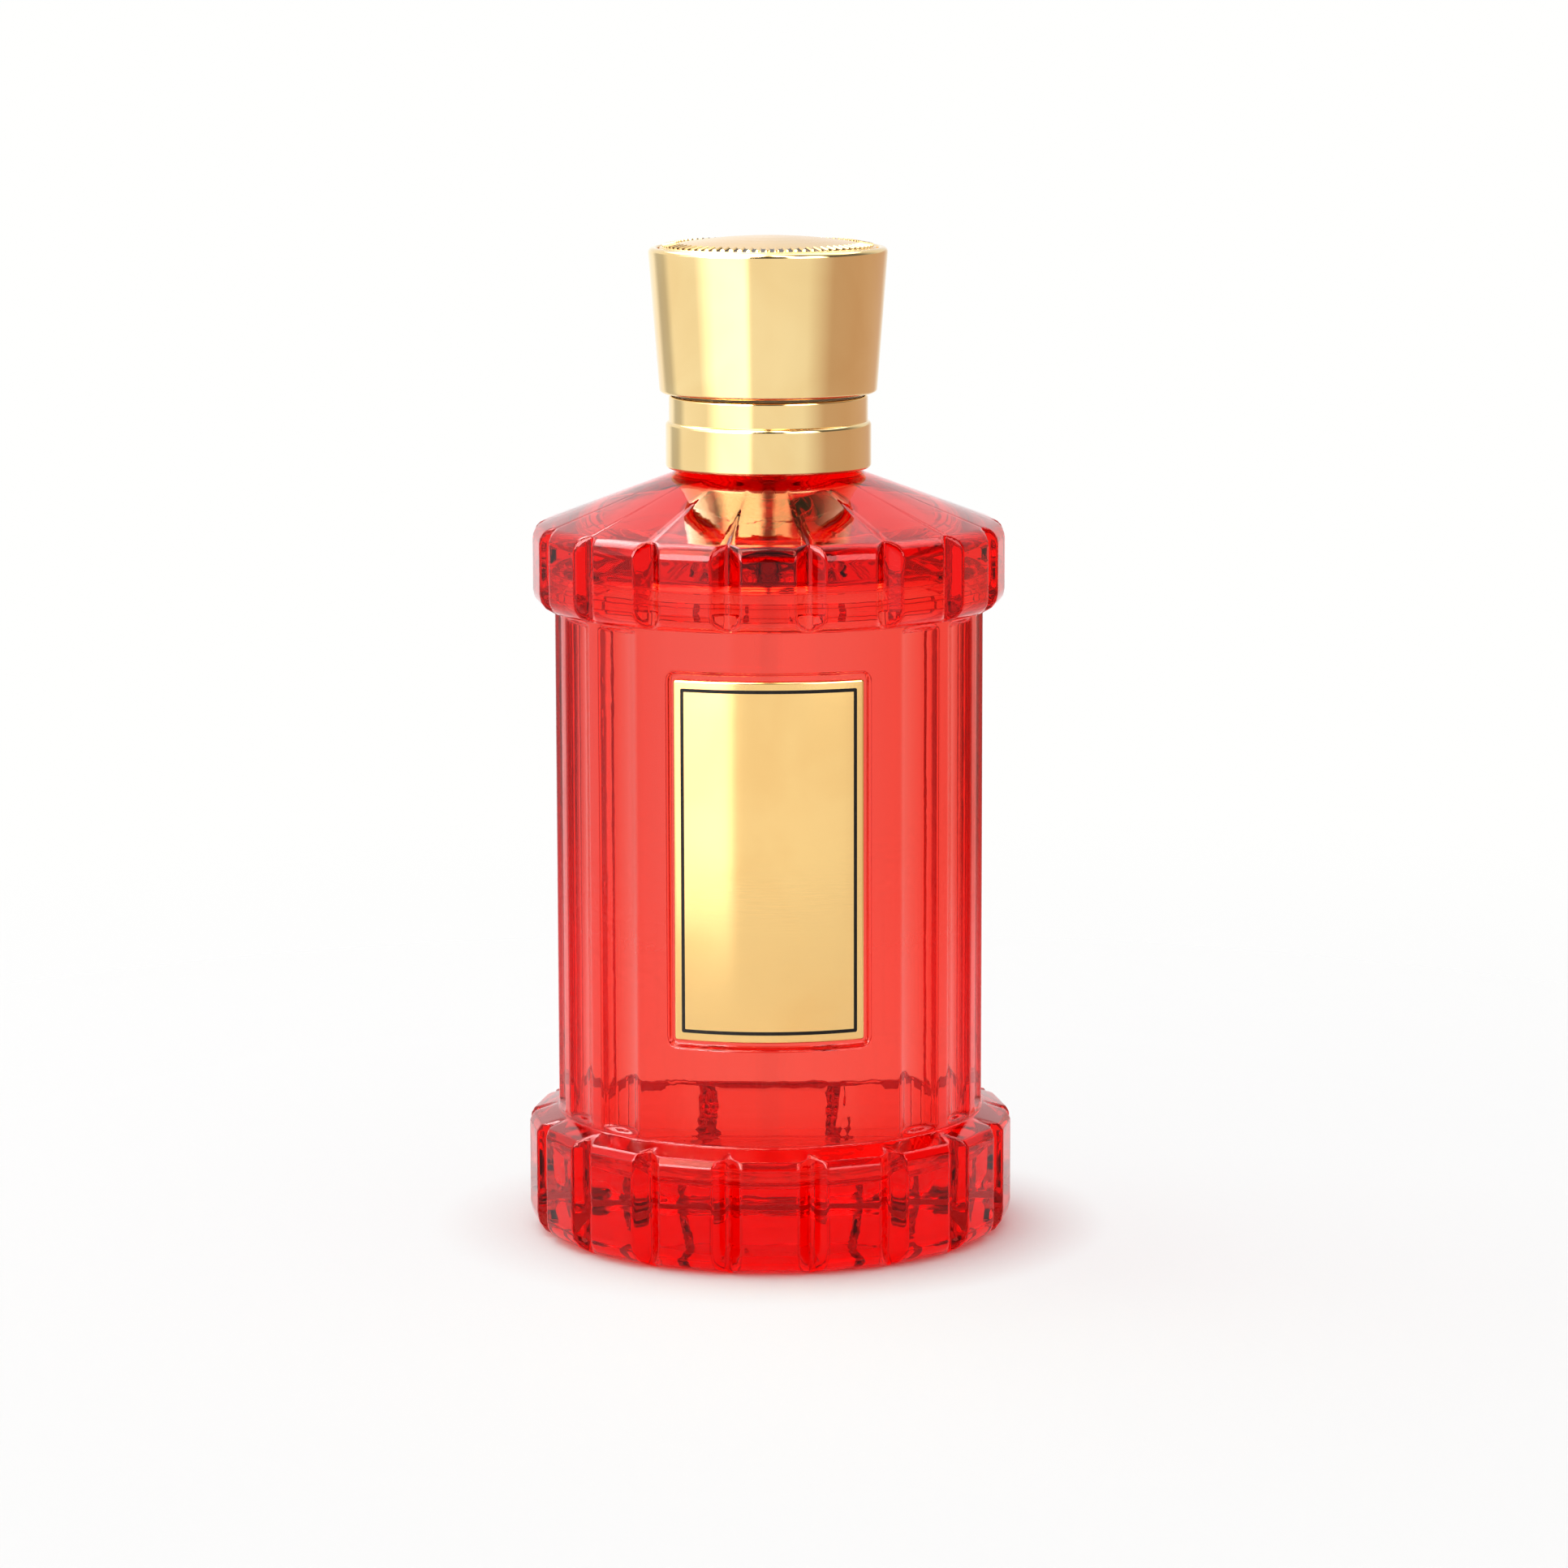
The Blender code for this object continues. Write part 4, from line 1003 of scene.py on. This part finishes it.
class BOTTLE_OT_button(bpy.types.Operator):
    """Make the spray button: gold sleeve, plastic core and nozzle"""

    bl_idname = "bottle.button"
    bl_label = "Spray button"

    def execute(self, context):
        foot, top, radius = spans("button_sleeve")
        lowest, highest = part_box("spray_nozzle")
        width, front, back = highest.x, -lowest.y, -highest.y
        height = Matrix.Translation((0.0, 0.0, (lowest.z + highest.z) / 2))

        def forward(corners):
            """Round body about the nozzle's axis."""
            bm = turned(corners, SMALL)
            bmesh.ops.transform(bm, matrix=height @ Matrix.Rotation(pi / 2, 4, "X"), verts=bm.verts)
            return bm

        pocket = [
            (0.0, 0.0, 0), (0.5 * MM, 0.0, 0),
            (0.5 * MM, back - GAP, 0), (width + GAP, back - GAP, 0),
            (width + GAP, 2 * radius, 0), (0.0, 2 * radius, 0),
        ]
        wall = 0.4 * MM
        sleeve = [
            (0.0, top, 0), (radius - 2.0 * MM, top, 0),
            (radius, top, 0.8 * MM), (radius, foot, 0.15 * MM),
            (radius - wall, foot, EDGE), (radius - wall, top - wall, 0.5 * MM),
            (0.0, top - wall, 0),
        ]
        gold = gold_finish(context, "sleeve_gold_finish")
        bm = cut_mesh(turned(sleeve), forward(pocket))
        add_piece("sleeve", bm, gold, "button", "button_sleeve", sharp=35)

        foot, top, radius = spans("spray_button")
        socket, recess = 1.9 * MM, 4.2 * MM
        hollow = foot + 0.6 * MM
        stop = spans("pump_stem")[1] + GAP
        core = [
            (0.0, top, 0), (radius, top, 0.4 * MM),
            (radius, foot, 0.15 * MM), (recess, foot, 0.15 * MM),
            (recess, hollow, 0.15 * MM), (socket, hollow, 0.15 * MM),
            (socket, stop, EDGE), (0.0, stop, 0),
        ]
        white = pale_plastic("button_plastic_finish", (0.85, 0.84, 0.81), 0.34)
        bm = cut_mesh(turned(core), forward(pocket))
        add_piece("button_core", bm, white, "button", "spray_button", sharp=35)

        dish, orifice = 0.7 * MM, 0.2 * MM
        nozzle = [
            (0.0, back, 0), (width, back, EDGE),
            (width, front, 0.15 * MM), (dish, front, EDGE),
            (orifice, front - dish, 0.05 * MM), (orifice, front - dish - orifice, 0),
            (0.0, front - dish - orifice, 0),
        ]
        pale = pale_plastic("nozzle_plastic_finish", (0.80, 0.79, 0.76), 0.28)
        add_piece("nozzle", forward(nozzle), pale, "button", "spray_nozzle", sharp=35)
        return {"FINISHED"}


class BOTTLE_OT_pump(bpy.types.Operator):
    """Make the crimped pump, its stem and its tube, and finish the small pieces inside it"""

    bl_idname = "bottle.pump"
    bl_label = "Pump"

    def execute(self, context):
        for add in (add_ferrule, add_turret, add_stem, add_housing, add_tube, add_spring):
            add()
        rubber = plastic("seal_rubber_finish", (0.035, 0.034, 0.033), (0.022, 0.021, 0.020), 0.62)
        white = pale_plastic("piston_plastic_finish", (0.80, 0.80, 0.77), 0.30)
        bright, dull = (0.86, 0.86, 0.87), (0.78, 0.78, 0.80)
        satin = metal("ball_steel_finish", bright, dull, (0.45, 0.60), lines=5000.0, depth=0.0)
        paint_node("neck_gasket", rubber)
        paint_node("stem_seal", rubber)
        paint_node("piston", white)
        paint_node("check_ball", satin)
        return {"FINISHED"}


def add_ferrule():
    foot, top, radius = spans("crimp_ferrule")
    wall, hole = 0.45 * MM, 3.9 * MM
    crimp = NECK_RADIUS + GAP
    corners = [
        (hole, top - wall, EDGE), (radius - wall, top - wall, 0.2 * MM),
        (radius - wall, foot + wall, 0.2 * MM), (crimp, foot + wall, EDGE),
        (crimp, foot, EDGE), (radius, foot, 0.4 * MM),
        (radius, top, 0.5 * MM), (hole, top, EDGE),
    ]
    bright, dull = (0.82, 0.82, 0.83), (0.74, 0.74, 0.76)
    silver = metal("ferrule_aluminium_finish", bright, dull, (0.22, 0.38), lines=6000.0, depth=0.003 * MM)
    add_turned("ferrule", corners, silver, "bottle", "crimp_ferrule")


def add_turret():
    foot, top, flange = spans("pump_turret")
    bore, spigot, guide = 1.9 * MM, 3.1 * MM, 3.6 * MM
    z_flange = foot + 3.0 * MM
    z_guide = z_flange + 0.6 * MM
    corners = [
        (bore, foot, EDGE), (spigot, foot, 0.2 * MM),
        (spigot, z_flange, EDGE), (flange, z_flange, EDGE),
        (flange, z_guide, EDGE), (guide, z_guide, EDGE),
        (guide, top, 0.35 * MM), (bore, top, 0.2 * MM),
    ]
    white = pale_plastic("turret_plastic_finish", (0.83, 0.83, 0.80), 0.34)
    add_turned("turret", corners, white, "bottle", "pump_turret", SMALL)


def add_stem():
    foot, top, flange = spans("pump_stem")
    radius, bore = 1.6 * MM, 0.7 * MM
    step = foot + 0.6 * MM
    corners = [
        (0.0, foot, 0), (flange, foot, 0.15 * MM),
        (flange, step, 0.15 * MM), (radius, step, 0.2 * MM),
        (radius, top, 0.25 * MM), (bore, top, EDGE),
        (bore, step, EDGE), (0.0, step, 0),
    ]
    white = pale_plastic("stem_plastic_finish", (0.84, 0.84, 0.81), 0.30)
    add_turned("stem", corners, white, "stem", "pump_stem", SMALL)


def add_housing():
    foot, top, flange = spans("pump_housing")
    socket, tail, body, bore = 1.6 * MM, 2.6 * MM, 4.3 * MM, 3.4 * MM
    port, cage, inlet = 0.9 * MM, 1.6 * MM, 0.8 * MM
    z_rim = top - 0.8 * MM
    z_seat = top - 17.0 * MM
    z_cage = z_seat - 0.4 * MM
    z_inlet = foot + 6.0 * MM
    z_socket = z_inlet - 1.0 * MM
    corners = [
        (socket, foot, EDGE), (tail, foot, 0.25 * MM),
        (tail, z_inlet, 0.6 * MM), (body, z_cage, 0.8 * MM),
        (body, z_rim, 0.2 * MM), (flange, z_rim, EDGE),
        (flange, top, EDGE), (bore, top, EDGE),
        (bore, z_seat, EDGE), (port, z_seat, EDGE),
        (port, z_cage, 0.05 * MM), (cage, z_cage, 0.05 * MM),
        (cage, z_inlet + 0.8 * MM, EDGE), (inlet, z_inlet, EDGE),
        (inlet, z_socket, 0.05 * MM), (socket, z_socket, 0.05 * MM),
    ]
    clear = thin_clear("housing_finish", 0.03)
    add_turned("housing", corners, clear, "bottle", "pump_housing", SMALL)


def add_tube():
    foot, top, radius = spans("dip_tube")
    bore = radius - 0.5 * MM
    corners = [(bore, foot, 0), (radius, foot, EDGE), (radius, top, EDGE), (bore, top, 0)]
    add_turned("tube", corners, thin_clear("tube_finish", 0.025), "bottle", "dip_tube", SMALL)


def add_spring():
    """Coil under the stem."""
    foot, top, radius = spans("return_spring")
    wire, turns, sides = 0.25 * MM, 5.5, 12
    steps = round(turns * 24)
    climb = (0, 0, (top - foot - 2 * wire) / steps)
    upright = Matrix.Rotation(pi / 2, 4, "X")
    start = Matrix.Translation((radius - wire, 0.0, foot + wire)) @ upright
    bm = bmesh.new()
    bmesh.ops.create_circle(bm, segments=sides, radius=wire, matrix=start)
    ring = bm.verts[:] + bm.edges[:]
    angle = turns * tau
    bmesh.ops.spin(bm, geom=ring, cent=(0, 0, 0), axis=(0, 0, 1), dvec=climb, angle=angle, steps=steps)
    bmesh.ops.holes_fill(bm, edges=[edge for edge in bm.edges if edge.is_boundary], sides=sides)
    outward(bm)
    bright, dull = (0.66, 0.66, 0.68), (0.55, 0.55, 0.57)
    steel = metal("spring_steel_finish", bright, dull, (0.18, 0.34), lines=8000.0, depth=0.002 * MM)
    spring = add_piece("spring", bm, steel, "bottle", "return_spring", sharp=50)
    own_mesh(spring)


class BOTTLE_OT_stage(bpy.types.Operator):
    """Make the floor, the light and the camera"""

    bl_idname = "bottle.stage"
    bl_label = "Stage"

    def execute(self, context):
        settings = context.scene.bottle_stage
        for add in (add_floor, add_room, add_key, add_camera):
            add(context, settings)
        context.scene.view_settings.view_transform = "Standard"
        context.scene.cycles.max_bounces = BOUNCES
        context.scene.cycles.glossy_bounces = BOUNCES
        context.scene.cycles.transmission_bounces = BOUNCES
        return {"FINISHED"}


def add_floor(context, settings):
    """Floor that fades out into the room, and is lifted to white away from the bottle."""
    bm = bmesh.new()
    bmesh.ops.create_circle(bm, cap_ends=True, segments=96, radius=FLOOR_RADIUS)
    floor = add_object("floor", as_mesh("floor", bm))

    material, tree, shader = new_material("floor")
    feed(tree, shader, {"Base Color": settings.floor_colour, "Roughness": 0.9, "Specular IOR Level": 0.1})
    distance = add_node(tree, "VectorMath", {0: own_place(tree)}, "Value", operation="LENGTH")
    path = tree.nodes.new("ShaderNodeLightPath").outputs
    seen = calc(tree, "MAXIMUM", path["Is Camera Ray"], path["Is Transmission Ray"])
    grown = between(tree, ranged(tree, distance, *FLOOR_LIFT), 0.0, settings.floor_lift)
    white = add_node(tree, "Emission", {})
    lifted = blended(tree, calc(tree, "MULTIPLY", seen, grown), shader.outputs[0], white)
    fade = ranged(tree, distance, *FLOOR_FADE, "SMOOTHSTEP")
    surface = blended(tree, fade, lifted, add_node(tree, "BsdfTransparent", {}))
    feed(tree, tree.nodes["Material Output"], {"Surface": surface})
    floor.data.materials.append(material)


def add_room(context, settings):
    """Room: white for the camera, bands of light for gloss, dark on the camera's side through the glass."""
    world = bpy.data.worlds.new("room")
    context.scene.world = world
    world.use_nodes = True
    tree = world.node_tree
    tree.nodes.clear()
    direction = add_node(tree, "TexCoord", {}, "Generated")
    x, y, height = add_node(tree, "SeparateXYZ", {0: direction}).node.outputs
    bearing = calc(tree, "ARCTAN2", x, calc(tree, "MULTIPLY", y, -1.0))
    share = ranged(tree, bearing, -pi, pi)

    def glow(stops, strength):
        """Light by bearing from the camera's side, in degrees, positive to the right."""
        tint = add_node(tree, "ValToRGB", {"Fac": share})
        elements = tint.node.color_ramp.elements
        while len(elements) < len(stops):
            elements.new(0.5)
        for element, (degrees, *light) in zip(elements, stops):
            element.position = degrees / 360 + 0.5
            element.color = (*(light * 3)[:3], 1.0)
        return add_node(tree, "Background", {"Color": tint, "Strength": strength})

    def above(limits, lower, upper):
        """Changes from one light to another over a range of heights."""
        return blended(tree, ranged(tree, height, *limits, "SMOOTHSTEP"), lower, upper)

    gloss = above(LOW_TO_MIDDLE, glow(LOW_BANDS, LOW_STRENGTH), glow(MIDDLE_BANDS, MIDDLE_STRENGTH))
    gloss = above(MIDDLE_TO_TOP, gloss, glow(TOP_BANDS, TOP_STRENGTH))
    light = add_node(tree, "Background", {"Strength": settings.sky_level})
    path = tree.nodes.new("ShaderNodeLightPath").outputs
    for rays, other in (
        ("Is Glossy Ray", gloss),
        ("Is Transmission Ray", glow(FAR_SIDE, 1.0)),
        ("Is Camera Ray", add_node(tree, "Background", {"Color": (1.0, 1.0, 0.99)})),
    ):
        light = blended(tree, path[rays], light, other)
    feed(tree, tree.nodes.new("ShaderNodeOutputWorld"), {"Surface": light})


def add_key(context, settings):
    """Soft light from above, behind and to the left."""
    lamp = bpy.data.lights.new("key", "AREA")
    lamp.shape = "RECTANGLE"
    lamp.size = lamp.size_y = KEY_SIZE
    lamp.energy = settings.key_power
    item = add_object("key", lamp)
    item.location = KEY_PLACE
    aim = Vector(KEY_AIM) - item.location
    item.rotation_euler = aim.to_track_quat("-Z", "Y").to_euler()


def add_camera(context, settings):
    data = bpy.data.cameras.new("camera")
    data.lens = settings.lens
    data.sensor_width = 36.0
    data.clip_start = 0.01
    camera = add_object("camera", data)
    look = Matrix.Rotation(pi / 2 - settings.camera_pitch, 4, "X")
    roll = Matrix.Rotation(settings.camera_roll, 4, "Z")
    camera.matrix_world = Matrix.Translation(settings.camera_place) @ look @ roll
    context.scene.camera = camera


class BOTTLE_PT_panel(bpy.types.Panel):
    """List of the bottle's pieces in the 3D view's sidebar"""

    bl_idname = "BOTTLE_PT_panel"
    bl_label = "Scent bottle"
    bl_space_type = "VIEW_3D"
    bl_region_type = "UI"
    bl_category = "Bottle"

    def draw(self, context):
        for settings in (context.scene.bottle_glass, context.scene.bottle_metal, context.scene.bottle_stage):
            box = self.layout.box()
            for name in settings.__annotations__:
                box.prop(settings, name)
        for operator in OPERATORS:
            self.layout.operator(operator.bl_idname)


OPERATORS = (
    BOTTLE_OT_glass,
    BOTTLE_OT_label,
    BOTTLE_OT_collar,
    BOTTLE_OT_cap,
    BOTTLE_OT_button,
    BOTTLE_OT_pump,
    BOTTLE_OT_stage,
)
SETTINGS = {"bottle_glass": GlassSettings, "bottle_metal": MetalSettings, "bottle_stage": StageSettings}
CLASSES = (*SETTINGS.values(), *OPERATORS, BOTTLE_PT_panel)


def register():
    for item in CLASSES:
        bpy.utils.register_class(item)
    for name, settings in SETTINGS.items():
        setattr(bpy.types.Scene, name, PointerProperty(type=settings))


def unregister():
    for name in SETTINGS:
        delattr(bpy.types.Scene, name)
    for item in reversed(CLASSES):
        bpy.utils.unregister_class(item)


def main():
    """Registers the add-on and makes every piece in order."""
    register()
    bpy.ops.bottle.glass()
    bpy.ops.bottle.label()
    bpy.ops.bottle.collar()
    bpy.ops.bottle.cap()
    bpy.ops.bottle.button()
    bpy.ops.bottle.pump()
    bpy.ops.bottle.stage()


if __name__ == "__main__":
    main()
